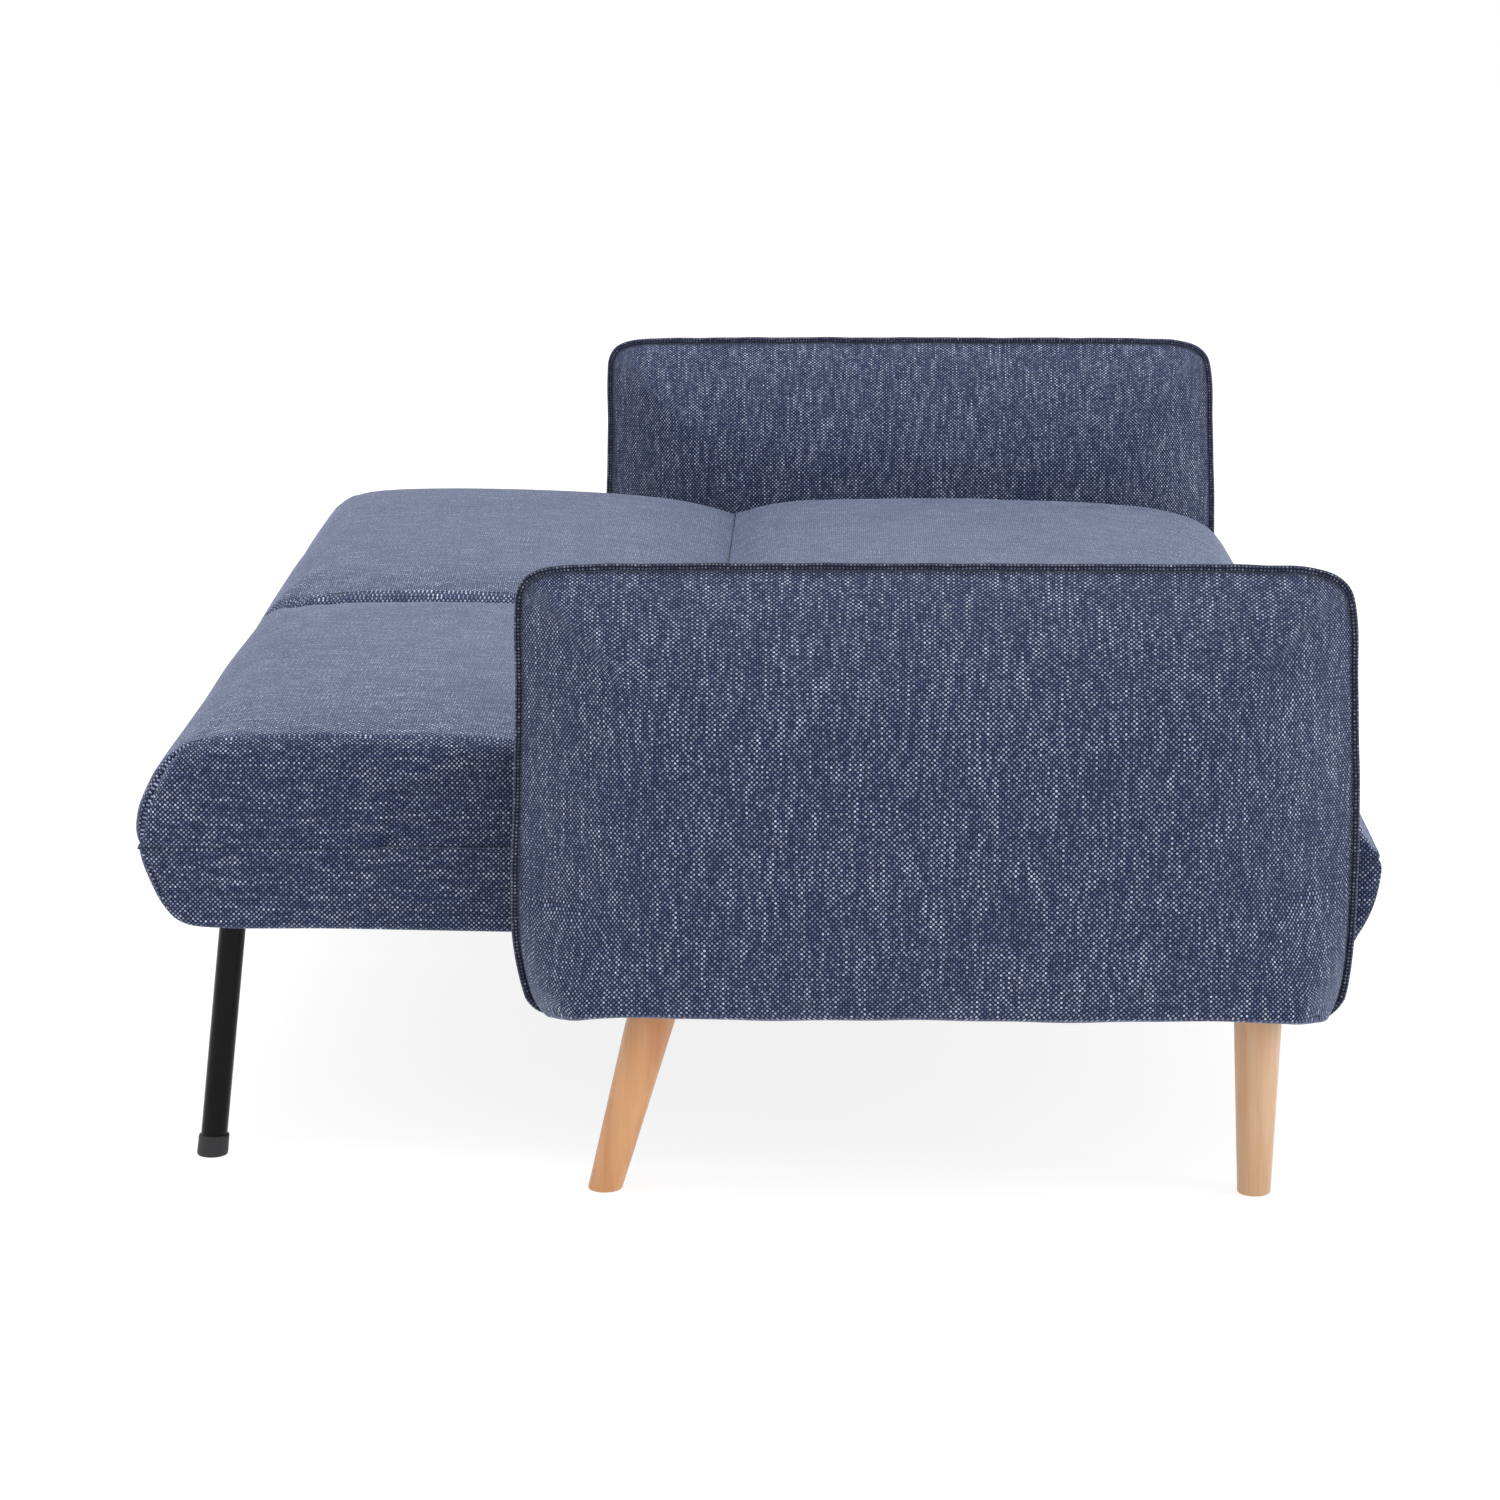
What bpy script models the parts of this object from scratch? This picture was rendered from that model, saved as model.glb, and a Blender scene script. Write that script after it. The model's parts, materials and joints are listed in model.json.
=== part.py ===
"""Futon sofa bed with a split click-clack back, modelled with the back folded flat as a bed.

Lengths are in metres. +X runs along the sofa, -Y is its front, +Z is up, and the floor is z = 0.
The left side is -X. The origin is on the floor, under the middle of the bed.
"""

import math

import bmesh
import bpy
import numpy as np
from mathutils import Vector
from mathutils.geometry import convex_hull_2d

# Overall sizes of the bed and its arms
LENGTH = 1.81
ARM_THICKNESS = 0.13
ARM_DEPTH = 0.765
ARM_HEIGHT = 0.416
SEAT_DEPTH = 0.6345
BACK_DEPTH = 0.5275
JUNCTION_GAP = 0.006
SPLIT_GAP = 0.008

# Heights above the floor
ARM_BOTTOM = 0.176
SEAT_BOTTOM = 0.2145
SEAT_SEAM = 0.303
BACK_BOTTOM = 0.228
BACK_SEAM = 0.3068

# Clearances
TOUCH = 0.0003
SOFT_GAP = 0.0006
RUN_GAP = 0.0004
HOLE_GAP = 0.0003
ARM_GAP = 0.0055
END_GAP = 0.017
NOTCH_SIDE_GAP = 0.0035
PANEL_PLATE_GAP = 0.002
SUPPORT_RAIL_GAP = 0.001
SUPPORT_COVER_GAP = 0.0028

# Arms
ARM_SETBACK = 0.035
ARM_CORE_THICKNESS = 0.044
ARM_MARGIN = 0.045
ARM_EAR = 0.016
ARM_TAPER_HEIGHT = 0.09
ARM_TOP_RADIUS = 0.045
ARM_FOOT_RADIUS = 0.018
ARM_EDGE = 0.011

# Pads. A corner's IN is its distance from the outer edge, and its UP is its height above its seam or top
PAD_HEIGHT = 0.0905
PAD_EDGE_DROP = 0.002
PAD_CROWN = 0.0125
CROWN_RADIUS = 1.2
JUNCTION_RADIUS = 0.039
PAD_HEM_RADIUS = 0.006
NOSE_IN = 0.036
NOSE_RADIUS = 0.048
NOSE_BULGE_IN = 0.006
NOSE_BULGE_UP = 0.034
NOSE_BULGE_RADIUS = 0.05
BACK_CROWN_UP = 0.0245
BACK_CROWN_REARWARD = 0.03
BACK_SHOULDER_IN = 0.05
BACK_SHOULDER_UP = 0.013
BACK_SHOULDER_RADIUS = 0.03
BACK_BULGE_IN = 0.004
BACK_BULGE_UP = 0.024
BACK_BULGE_RADIUS = 0.03
NOTCH_DEPTH = 0.052
NOTCH_TOP = 0.014

# Covers of the bases. A waist is measured from half way up the base
COVER_THICKNESS = 0.003
FRONT_HEM_IN = 0.024
FRONT_HEM_RADIUS = 0.01
FRONT_WAIST_IN = 0.011
FRONT_WAIST_DROP = 0.012
FRONT_WAIST_RADIUS = 0.06
FRONT_SEAM_IN = 0.001
FRONT_SEAM_RADIUS = 0.003
REAR_HEM_IN = 0.034
REAR_HEM_RADIUS = 0.018
REAR_WAIST_IN = 0.0105
REAR_WAIST_DROP = 0.004
REAR_WAIST_RADIUS = 0.05
REAR_SEAM_IN = 0.002
REAR_SEAM_RADIUS = 0.002
END_COVER_SETBACK = 0.0035

# Seat frame
RAIL_BASE = 0.0035
FRONT_RAIL_WIDTH = 0.028
REAR_RAIL_WIDTH = 0.028
HINGE_BLOCK_WIDTH = 0.0484
CENTRE_RAIL_WIDTH = 0.04
HINGE_BAY = 0.047
FRONT_RAIL_SETBACK = 0.029
SEAT_FRAME_SETBACK = 0.0055

# Sinuous springs
SPRING_WIRE = 0.0038
SPRING_PITCH = 0.0394
SPRING_BAR = 0.042
SPRING_PLACES = (0.22, 0.52)
SPRING_END = 0.012
SPRING_HEADROOM = 0.0022

# Back frame
BACK_RAIL_WIDTH = 0.021
BACK_TOP_RAIL_WIDTH = 0.0255
BACK_RAIL_LIFT = 0.008
BACK_FRAME_FRONT_SETBACK = 0.0185
BACK_FRAME_REAR_SETBACK = 0.044
BACK_FRAME_SPLIT_SETBACK = 0.0035
PANEL_THICKNESS = 0.006

# Click-clack hinges
PIVOT_DEPTH = 0.0275
PLATE_THICKNESS = 0.004
PLATE_FOOT = 0.036
PLATE_LIFT = 0.012
SEAT_PLATE_SETBACK = 0.0085
BACK_PLATE_SETBACK = 0.0095
BOSS_RADIUS = 0.011
PIN_RADIUS = 0.004
PIN_HEAD_RADIUS = 0.0075
PIN_HEAD_THICKNESS = 0.0022

# Beech legs
LEG_TOP_RADIUS = 0.0225
LEG_FOOT_RADIUS = 0.0155
LEG_INSET = 0.005
FRONT_LEG_SETBACK = 0.083
REAR_LEG_SETBACK = 0.124
REAR_LEG_RAKE = math.radians(14.9)
STUD_RADIUS = 0.004
STUD_LENGTH = 0.05

# Arm bolts
BOLT_RADIUS = 0.004
BOLT_HEAD_RADIUS = 0.0075
BOLT_HEAD_THICKNESS = 0.0055
BOLT_REACH = 0.0375
BOLT_HEIGHT = 0.258
FRONT_BOLT_SETBACK = 0.15
REAR_BOLT_SETBACK = 0.5

# Folding support legs
TUBE_RADIUS = 0.0125
TUBE_WALL = 0.0015
TUBE_OVERRUN = 0.013
TUBE_LEAN = math.radians(6.27)
SUPPORT_DROP = 0.0382
SUPPORT_SETBACK = 0.0932
CAP_WALL = 0.0019
CAP_HEIGHT = 0.0205
CAP_FLOOR = 0.004
BRACKET_WALL = 0.003
BRACKET_LENGTH = 0.045
BRACKET_REAR = 0.0216
BRACKET_HEIGHT = 0.053
BRACKET_SIDE_GAP = 0.001
RIVET_PROUD = 0.0005

# Fineness of round shapes
ARC_STEP = math.radians(18)
ROUND_SIDES = 24

# Places along X worked out from the sizes
HALF_LENGTH = LENGTH / 2
ARM_MIDDLE = HALF_LENGTH - ARM_THICKNESS / 2
ARM_INNER = HALF_LENGTH - ARM_THICKNESS
SEAT_END = ARM_INNER - ARM_GAP
SIDE_RAIL_OUTER = SEAT_END - COVER_THICKNESS
BACK_END = ARM_INNER - END_GAP
END_COVER_INNER = BACK_END - COVER_THICKNESS
SPLIT_HALF = SPLIT_GAP / 2

# Places along Y
FRONT = -(SEAT_DEPTH + JUNCTION_GAP + BACK_DEPTH) / 2
REAR = -FRONT
SEAT_REAR = FRONT + SEAT_DEPTH
BACK_FRONT = SEAT_REAR + JUNCTION_GAP
PIVOT_Y = SEAT_REAR + JUNCTION_GAP / 2
ARM_FRONT = FRONT + ARM_SETBACK
ARM_REAR = ARM_FRONT + ARM_DEPTH
FRONT_RAIL_FRONT = FRONT + FRONT_RAIL_SETBACK
SEAT_FRAME_REAR = SEAT_REAR - SEAT_FRAME_SETBACK
SEAT_PLATE_REAR = SEAT_REAR - SEAT_PLATE_SETBACK
BACK_PLATE_FRONT = BACK_FRONT + BACK_PLATE_SETBACK
BACK_PLATE_REAR = BACK_PLATE_FRONT + PLATE_FOOT
PANEL_FRONT = BACK_PLATE_REAR + PANEL_PLATE_GAP
BACK_FRAME_FRONT = BACK_FRONT + BACK_FRAME_FRONT_SETBACK
BACK_FRAME_REAR = REAR - BACK_FRAME_REAR_SETBACK
SUPPORT_Y = REAR - SUPPORT_SETBACK

# Heights
ARM_TOP = ARM_BOTTOM + ARM_HEIGHT
LEG_TOP = ARM_BOTTOM - TOUCH
PAD_TOP = SEAT_SEAM + PAD_HEIGHT
PIVOT_HEIGHT = PAD_TOP - PIVOT_DEPTH
RAIL_LOW = SEAT_BOTTOM + RAIL_BASE
RAIL_TOP = SEAT_SEAM - SPRING_WIRE - SPRING_HEADROOM
BACK_RAIL_LOW = BACK_BOTTOM + BACK_RAIL_LIFT
PANEL_LOW = BACK_SEAM - TOUCH - PANEL_THICKNESS
BACK_RAIL_TOP = PANEL_LOW - TOUCH
SUPPORT_HEIGHT = BACK_RAIL_TOP - SUPPORT_DROP

# The support leg swings in its bracket between the outer back rail and the end cover
CAP_RADIUS = TUBE_RADIUS + TOUCH + CAP_WALL
BRACKET_OUT = END_COVER_INNER - SUPPORT_COVER_GAP - PIN_HEAD_THICKNESS
SUPPORT_X = BRACKET_OUT - BRACKET_WALL - BRACKET_SIDE_GAP - TUBE_RADIUS
BRACKET_IN = SUPPORT_X - TUBE_RADIUS - BRACKET_SIDE_GAP - BRACKET_WALL
OUTER_RAIL_OUT = BRACKET_IN - SUPPORT_RAIL_GAP
OUTER_RAIL = (OUTER_RAIL_OUT - BACK_RAIL_WIDTH, OUTER_RAIL_OUT)

# The outer hinge's plates stand between that rail and the seat's side rail
OUTER_BACK_IN = OUTER_RAIL_OUT + TOUCH
OUTER_BACK_PLATE = (OUTER_BACK_IN, OUTER_BACK_IN + PLATE_THICKNESS)
OUTER_SEAT_IN = OUTER_BACK_PLATE[1] + RUN_GAP
OUTER_SEAT_PLATE = (OUTER_SEAT_IN, OUTER_SEAT_IN + PLATE_THICKNESS)
SIDE_RAIL_INNER = OUTER_SEAT_PLATE[1] + TOUCH

# The inner hinge's plates stand beside the hinge block and the inner back rail
INNER_SEAT_IN = HINGE_BLOCK_WIDTH / 2 + TOUCH
INNER_SEAT_PLATE = (INNER_SEAT_IN, INNER_SEAT_IN + PLATE_THICKNESS)
INNER_BACK_IN = INNER_SEAT_PLATE[1] + RUN_GAP
INNER_BACK_PLATE = (INNER_BACK_IN, INNER_BACK_IN + PLATE_THICKNESS)
INNER_RAIL_OUT = INNER_BACK_IN - TOUCH
INNER_RAIL = (INNER_RAIL_OUT - BACK_RAIL_WIDTH, INNER_RAIL_OUT)
HINGES = {
    "outer": (OUTER_SEAT_PLATE, OUTER_BACK_PLATE),
    "inner": (INNER_SEAT_PLATE, INNER_BACK_PLATE),
}

SIDES = {"left": -1, "right": 1}


def clear_scene():
    for obj in list(bpy.data.objects):
        bpy.data.objects.remove(obj, do_unlink=True)


def new_collection(name):
    made = bpy.data.collections.new(name)
    bpy.context.scene.collection.children.link(made)
    return made


def new_material(name, colour, roughness, metallic=0.0):
    made = bpy.data.materials.new(name)
    made.use_nodes = True
    shader = made.node_tree.nodes["Principled BSDF"]
    shader.inputs["Base Color"].default_value = (*colour, 1.0)
    shader.inputs["Roughness"].default_value = roughness
    shader.inputs["Metallic"].default_value = metallic
    made.diffuse_color = (*colour, 1.0)
    return made


def add_object(name, data, place, material):
    obj = bpy.data.objects.new(name, data)
    obj.location = place
    if material is None:
        CUTTERS.objects.link(obj)
        obj.hide_render = True
        obj.display_type = "WIRE"
    else:
        PARTS.objects.link(obj)
        data.materials.append(material)
    return obj


def spans(side, low, high):
    """The two X values of a span on the given side of the middle, lowest first."""
    return tuple(sorted((side * low, side * high)))


def box(name, xs, ys, zs, material=None):
    """A box between two values along each axis."""
    low = Vector((xs[0], ys[0], zs[0]))
    high = Vector((xs[1], ys[1], zs[1]))
    shape = bmesh.new()
    bmesh.ops.create_cube(shape, size=1.0)
    bmesh.ops.scale(shape, vec=high - low, verts=shape.verts)
    mesh = bpy.data.meshes.new(name)
    shape.to_mesh(mesh)
    shape.free()
    return add_object(name, mesh, (low + high) / 2, material)


def rod(name, radius, xs, y, z, material=None):
    """A round bar along X."""
    shape = bmesh.new()
    length = xs[1] - xs[0]
    bmesh.ops.create_cone(
        shape, cap_ends=True, segments=ROUND_SIDES, radius1=radius, radius2=radius, depth=length
    )
    mesh = bpy.data.meshes.new(name)
    shape.to_mesh(mesh)
    shape.free()
    obj = add_object(name, mesh, ((xs[0] + xs[1]) / 2, y, z), material)
    obj.rotation_euler = (0, math.pi / 2, 0)
    return obj


def raked_rod(name, radius, length, place, rake, material=None):
    """A round bar centred on its place, upright but for a rake about X."""
    shape = bmesh.new()
    bmesh.ops.create_cone(
        shape, cap_ends=True, segments=ROUND_SIDES, radius1=radius, radius2=radius, depth=length
    )
    mesh = bpy.data.meshes.new(name)
    shape.to_mesh(mesh)
    shape.free()
    obj = add_object(name, mesh, place, material)
    obj.rotation_euler = (rake, 0, 0)
    return obj


def rounded_outline(corners):
    """The points of a closed outline whose corners (y, z, radius) are rounded by arcs."""
    points = []
    count = len(corners)
    for index, (y, z, radius) in enumerate(corners):
        corner = np.array((y, z))
        before = np.array(corners[index - 1][:2]) - corner
        after = np.array(corners[(index + 1) % count][:2]) - corner
        before /= np.linalg.norm(before)
        after /= np.linalg.norm(after)
        inside = math.acos(np.clip(before @ after, -1, 1))
        if radius <= 0:
            points.append(corner)
            continue
        reach = radius / math.tan(inside / 2)
        middle = (before + after) / np.linalg.norm(before + after)
        centre = corner + middle * radius / math.sin(inside / 2)
        start = corner + before * reach - centre
        turn = math.pi - inside
        steps = max(1, math.ceil(turn / ARC_STEP))
        sign = 1 if before[0] * after[1] - before[1] * after[0] < 0 else -1
        for step in range(steps + 1):
            angle = sign * turn * step / steps
            cos, sin = math.cos(angle), math.sin(angle)
            points.append(centre + (cos * start[0] - sin * start[1], sin * start[0] + cos * start[1]))
    return points


def prism(name, outline, xs, material=None):
    """An outline of (y, z) points carried along X: a filled 2D curve, made a closed mesh."""
    curve = bpy.data.curves.new(name + "_outline", "CURVE")
    curve.dimensions = "2D"
    curve.fill_mode = "BOTH"
    curve.extrude = (xs[1] - xs[0]) / 2
    spline = curve.splines.new("POLY")
    spline.points.add(len(outline) - 1)
    for point, (y, z) in zip(spline.points, outline):
        point.co = (y, z, 0, 1)
    spline.use_cyclic_u = True
    guide = bpy.data.objects.new(name + "_outline", curve)
    PARTS.objects.link(guide)
    guide.location = ((xs[0] + xs[1]) / 2, 0, 0)
    guide.rotation_euler = (math.pi / 2, 0, math.pi / 2)
    bpy.context.view_layer.update()
    graph = bpy.context.evaluated_depsgraph_get()
    mesh = bpy.data.meshes.new_from_object(guide.evaluated_get(graph))
    mesh.name = name
    shape = bmesh.new()
    shape.from_mesh(mesh)
    bmesh.ops.remove_doubles(shape, verts=shape.verts, dist=1e-6)
    bmesh.ops.dissolve_limit(
        shape, angle_limit=math.radians(0.2), verts=shape.verts, edges=shape.edges
    )
    bmesh.ops.recalc_face_normals(shape, faces=shape.faces)
    shape.to_mesh(mesh)
    shape.free()
    obj = add_object(name, mesh, (0, 0, 0), material)
    obj.matrix_world = guide.matrix_world.copy()
    bpy.data.objects.remove(guide, do_unlink=True)
    return obj


def turned(name, profile, place, rake, material, closed_ring=False):
    """A profile of (radius, height) points turned about its own upright axis, then raked about X."""
    mesh = bpy.data.meshes.new(name)
    points = [(radius, 0, height) for radius, height in profile]
    edges = [(index, index + 1) for index in range(len(points) - 1)]
    if closed_ring:
        edges.append((len(points) - 1, 0))
    mesh.from_pydata(points, edges, [])
    obj = add_object(name, mesh, place, material)
    obj.rotation_euler = (rake, 0, 0)
    screw = obj.modifiers.new("turn", "SCREW")
    screw.steps = ROUND_SIDES
    screw.render_steps = ROUND_SIDES
    screw.use_merge_vertices = True
    screw.merge_threshold = 0.0001
    return obj


def combine(obj, other, operation="DIFFERENCE"):
    change = obj.modifiers.new(operation.lower() + "_" + other.name, "BOOLEAN")
    change.operation = operation
    change.object = other


def joint_empty(name, place, parent=None):
    """An empty on a joint's axis, which the moving pieces are parented to."""
    empty = bpy.data.objects.new(name, None)
    empty.empty_display_size = 0.05
    PARTS.objects.link(empty)
    empty.location = place
    if parent is not None:
        hold(empty, parent)
    return empty


def hold(obj, parent):
    """Parents an object at its place in the world."""
    bpy.context.view_layer.update()
    world = obj.matrix_world.copy()
    obj.parent = parent
    obj.matrix_parent_inverse.identity()
    obj.matrix_basis = parent.matrix_world.inverted() @ world


def make_arm(side_name, side):
    """A panel core in an upholstered pad that is open at the bottom, where its cover is stapled."""
    ear_front = (ARM_FRONT + ARM_EAR, ARM_BOTTOM, ARM_FOOT_RADIUS)
    ear_rear = (ARM_REAR - ARM_EAR, ARM_BOTTOM, ARM_FOOT_RADIUS)
    taper = ARM_BOTTOM + ARM_TAPER_HEIGHT
    corners = [
        ear_front,
        ear_rear,
        (ARM_REAR, taper, ARM_TAPER_HEIGHT),
        (ARM_REAR, ARM_TOP, ARM_TOP_RADIUS),
        (ARM_FRONT, ARM_TOP, ARM_TOP_RADIUS),
        (ARM_FRONT, taper, ARM_TAPER_HEIGHT),
    ]
    pad = prism(
        f"arm_{side_name}_pad", rounded_outline(corners), spans(side, ARM_INNER, HALF_LENGTH), FABRIC
    )
    edges = pad.modifiers.new("edges", "BEVEL")
    edges.width = ARM_EDGE
    edges.segments = 2
    edges.limit_method = "ANGLE"
    edges.angle_limit = math.radians(60)
    half = ARM_CORE_THICKNESS / 2
    core_ys = (ARM_FRONT + ARM_MARGIN, ARM_REAR - ARM_MARGIN)
    core_top = ARM_TOP - ARM_MARGIN
    core = box(
        f"arm_{side_name}_core",
        spans(side, ARM_MIDDLE - half, ARM_MIDDLE + half),
        core_ys,
        (ARM_BOTTOM, core_top),
        PINE,
    )
    pocket = box(
        f"arm_{side_name}_pocket_cutter",
        spans(side, ARM_MIDDLE - half - TOUCH, ARM_MIDDLE + half + TOUCH),
        (core_ys[0] - TOUCH, core_ys[1] + TOUCH),
        (ARM_BOTTOM - ARM_MARGIN, core_top + TOUCH),
    )
    combine(pad, pocket)
    return pad, core


def make_beech_leg(name, side, y, rake, core):
    """A tapered round leg, cut level at the floor and at the arm, with its stud into the arm core."""
    place = (side * (ARM_MIDDLE - LEG_INSET), y, LEG_TOP)
    length = LEG_TOP / math.cos(rake)
    spare = 0.02
    growth = (LEG_TOP_RADIUS - LEG_FOOT_RADIUS) / length
    top_radius = LEG_TOP_RADIUS + growth * spare
    foot_radius = LEG_FOOT_RADIUS - growth * spare
    profile = [
        (0, spare),
        (top_radius, spare),
        (foot_radius, -length - spare),
        (0, -length - spare),
    ]
    leg = turned(name, profile, place, rake, BEECH)
    combine(leg, LEG_SLAB, "INTERSECT")
    stud = raked_rod(name + "_stud", STUD_RADIUS, STUD_LENGTH, place, rake, STEEL)
    bore = raked_rod(
        name + "_stud_cutter", STUD_RADIUS + HOLE_GAP, STUD_LENGTH + 2 * HOLE_GAP, place, rake
    )
    combine(leg, bore)
    combine(core, bore)
    return stud


def make_arm_bolt(name, side, y, pad, core, rail):
    """A bolt from inside the seat frame, through the side rail and the arm's cover, into its core."""
    head_xs = spans(side, SIDE_RAIL_INNER - TOUCH - BOLT_HEAD_THICKNESS, SIDE_RAIL_INNER - TOUCH)
    tip = ARM_MIDDLE - ARM_CORE_THICKNESS / 2 + BOLT_REACH
    bolt = rod(name, BOLT_HEAD_RADIUS, head_xs, y, BOLT_HEIGHT, STEEL)
    head_inside = SIDE_RAIL_INNER - TOUCH - BOLT_HEAD_THICKNESS / 2
    shank = rod(name + "_shank_joiner", BOLT_RADIUS, spans(side, head_inside, tip), y, BOLT_HEIGHT)
    combine(bolt, shank, "UNION")
    bore = rod(
        name + "_cutter", BOLT_RADIUS + HOLE_GAP, spans(side, head_inside, tip + HOLE_GAP), y, BOLT_HEIGHT
    )
    for obj in (pad, core, rail):
        combine(obj, bore)


def make_seat_frame():
    """Pine rails round the seat, a centre rail, and the block that holds the inner hinges."""
    zs = (RAIL_LOW, RAIL_TOP)
    front_ys = (FRONT_RAIL_FRONT, FRONT_RAIL_FRONT + FRONT_RAIL_WIDTH)
    box("seat_front_rail", (-SIDE_RAIL_OUTER, SIDE_RAIL_OUTER), front_ys, zs, PINE)
    bay_front = SEAT_FRAME_REAR - HINGE_BAY
    rear_ys = (bay_front - REAR_RAIL_WIDTH, bay_front)
    rear_xs = (-SIDE_RAIL_INNER + TOUCH, SIDE_RAIL_INNER - TOUCH)
    box("seat_rear_rail", rear_xs, rear_ys, zs, PINE)
    side_ys = (front_ys[1] + TOUCH, SEAT_FRAME_REAR)
    rails = {}
    for side_name, side in SIDES.items():
        rails[side_name] = box(
            f"seat_side_rail_{side_name}", spans(side, SIDE_RAIL_INNER, SIDE_RAIL_OUTER), side_ys, zs, PINE
        )
    half = CENTRE_RAIL_WIDTH / 2
    box("seat_centre_rail", (-half, half), (side_ys[0], rear_ys[0] - TOUCH), zs, PINE)
    half = HINGE_BLOCK_WIDTH / 2
    box("seat_hinge_block", (-half, half), (bay_front + TOUCH, side_ys[1]), zs, PINE)
    make_springs(front_ys, rear_ys)
    return rails


def spring_path(x, start, end):
    """Bars across the spring joined by half circles: the flat zigzag of a sinuous spring."""
    rows = int((end - start) / SPRING_PITCH)
    pitch = (end - start) / rows
    half = SPRING_BAR / 2
    points = []
    for row in range(rows + 1):
        way = 1 if row % 2 == 0 else -1
        y = start + row * pitch
        points.append((x - way * half, y))
        points.append((x + way * half, y))
        if row == rows:
            continue
        for angle in (math.pi / 4, math.pi / 2, math.pi * 3 / 4):
            points.append(
                (x + way * (half + pitch / 2 * math.sin(angle)), y + pitch / 2 * (1 - math.cos(angle)))
            )
    return points


def make_springs(front_ys, rear_ys):
    """Springs lie on the front and rear rails and span the open frame between them."""
    z = RAIL_TOP + TOUCH + SPRING_WIRE / 2
    start = front_ys[0] + SPRING_END
    end = rear_ys[1] - SPRING_END
    for side_name, side in SIDES.items():
        for number, x in enumerate(SPRING_PLACES, 1):
            name = f"seat_spring_{side_name}_{number}"
            curve = bpy.data.curves.new(name, "CURVE")
            curve.dimensions = "3D"
            curve.bevel_depth = SPRING_WIRE / 2
            curve.bevel_resolution = 1
            curve.use_fill_caps = True
            path = spring_path(side * x, start, end)
            spline = curve.splines.new("POLY")
            spline.points.add(len(path) - 1)
            for point, (px, py) in zip(spline.points, path):
                point.co = (px - side * x, py, 0, 1)
            add_object(name, curve, (side * x, 0, z), STEEL)


def notch_cutter(name, side, plates, edge):
    """The room in a pad's edge for a hinge's plates, pin and boss."""
    reach = PIN_HEAD_THICKNESS + NOTCH_SIDE_GAP
    low = min(plates[0][0], plates[1][0]) - reach
    high = max(plates[0][1], plates[1][1]) + reach
    ys = (edge - NOTCH_DEPTH, edge + NOTCH_DEPTH)
    return box(name, spans(side, low, high), ys, (SEAT_BOTTOM, PIVOT_HEIGHT + NOTCH_TOP))


def make_seat_pad():
    """Foam and cover from the seam up: a waterfall nose in front and a rounded edge at the back."""
    bottom = SEAT_SEAM + SOFT_GAP
    top = PAD_TOP - PAD_EDGE_DROP
    corners = [
        (FRONT, bottom, PAD_HEM_RADIUS),
        (SEAT_REAR, bottom, PAD_HEM_RADIUS / 2),
        (SEAT_REAR, top, JUNCTION_RADIUS),
        ((FRONT + SEAT_REAR) / 2, top + PAD_CROWN, CROWN_RADIUS),
        (FRONT + NOSE_IN, top, NOSE_RADIUS),
        (FRONT + NOSE_BULGE_IN, bottom + NOSE_BULGE_UP, NOSE_BULGE_RADIUS),
    ]
    pad = prism("seat_pad", rounded_outline(corners), (-SEAT_END, SEAT_END), FABRIC)
    for side_name, side in SIDES.items():
        for place, plates in HINGES.items():
            combine(pad, notch_cutter(f"seat_notch_{side_name}_{place}_cutter", side, plates, SEAT_REAR))


def make_seat_front_cover():
    """The padded front below the seam, drawn in towards the bottom of the frame."""
    inner = FRONT_RAIL_FRONT - SOFT_GAP
    waist = (SEAT_BOTTOM + SEAT_SEAM) / 2 - FRONT_WAIST_DROP
    corners = [
        (inner, SEAT_BOTTOM, 0),
        (inner, SEAT_SEAM, 0),
        (FRONT + FRONT_SEAM_IN, SEAT_SEAM, FRONT_SEAM_RADIUS),
        (FRONT + FRONT_WAIST_IN, waist, FRONT_WAIST_RADIUS),
        (FRONT + FRONT_HEM_IN, SEAT_BOTTOM, FRONT_HEM_RADIUS),
    ]
    prism("seat_front_cover", rounded_outline(corners[::-1]), (-SEAT_END, SEAT_END), FABRIC)


def base_outline(front):
    """The back base's outline from the given front to its rear, drawn in towards the bottom."""
    waist = (BACK_BOTTOM + BACK_SEAM) / 2 - REAR_WAIST_DROP
    return [
        (front, BACK_BOTTOM, 0),
        (REAR - REAR_HEM_IN, BACK_BOTTOM, REAR_HEM_RADIUS),
        (REAR - REAR_WAIST_IN, waist, REAR_WAIST_RADIUS),
        (REAR - REAR_SEAM_IN, BACK_SEAM - SOFT_GAP, REAR_SEAM_RADIUS),
        (front, BACK_SEAM - SOFT_GAP, 0),
    ]


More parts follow.
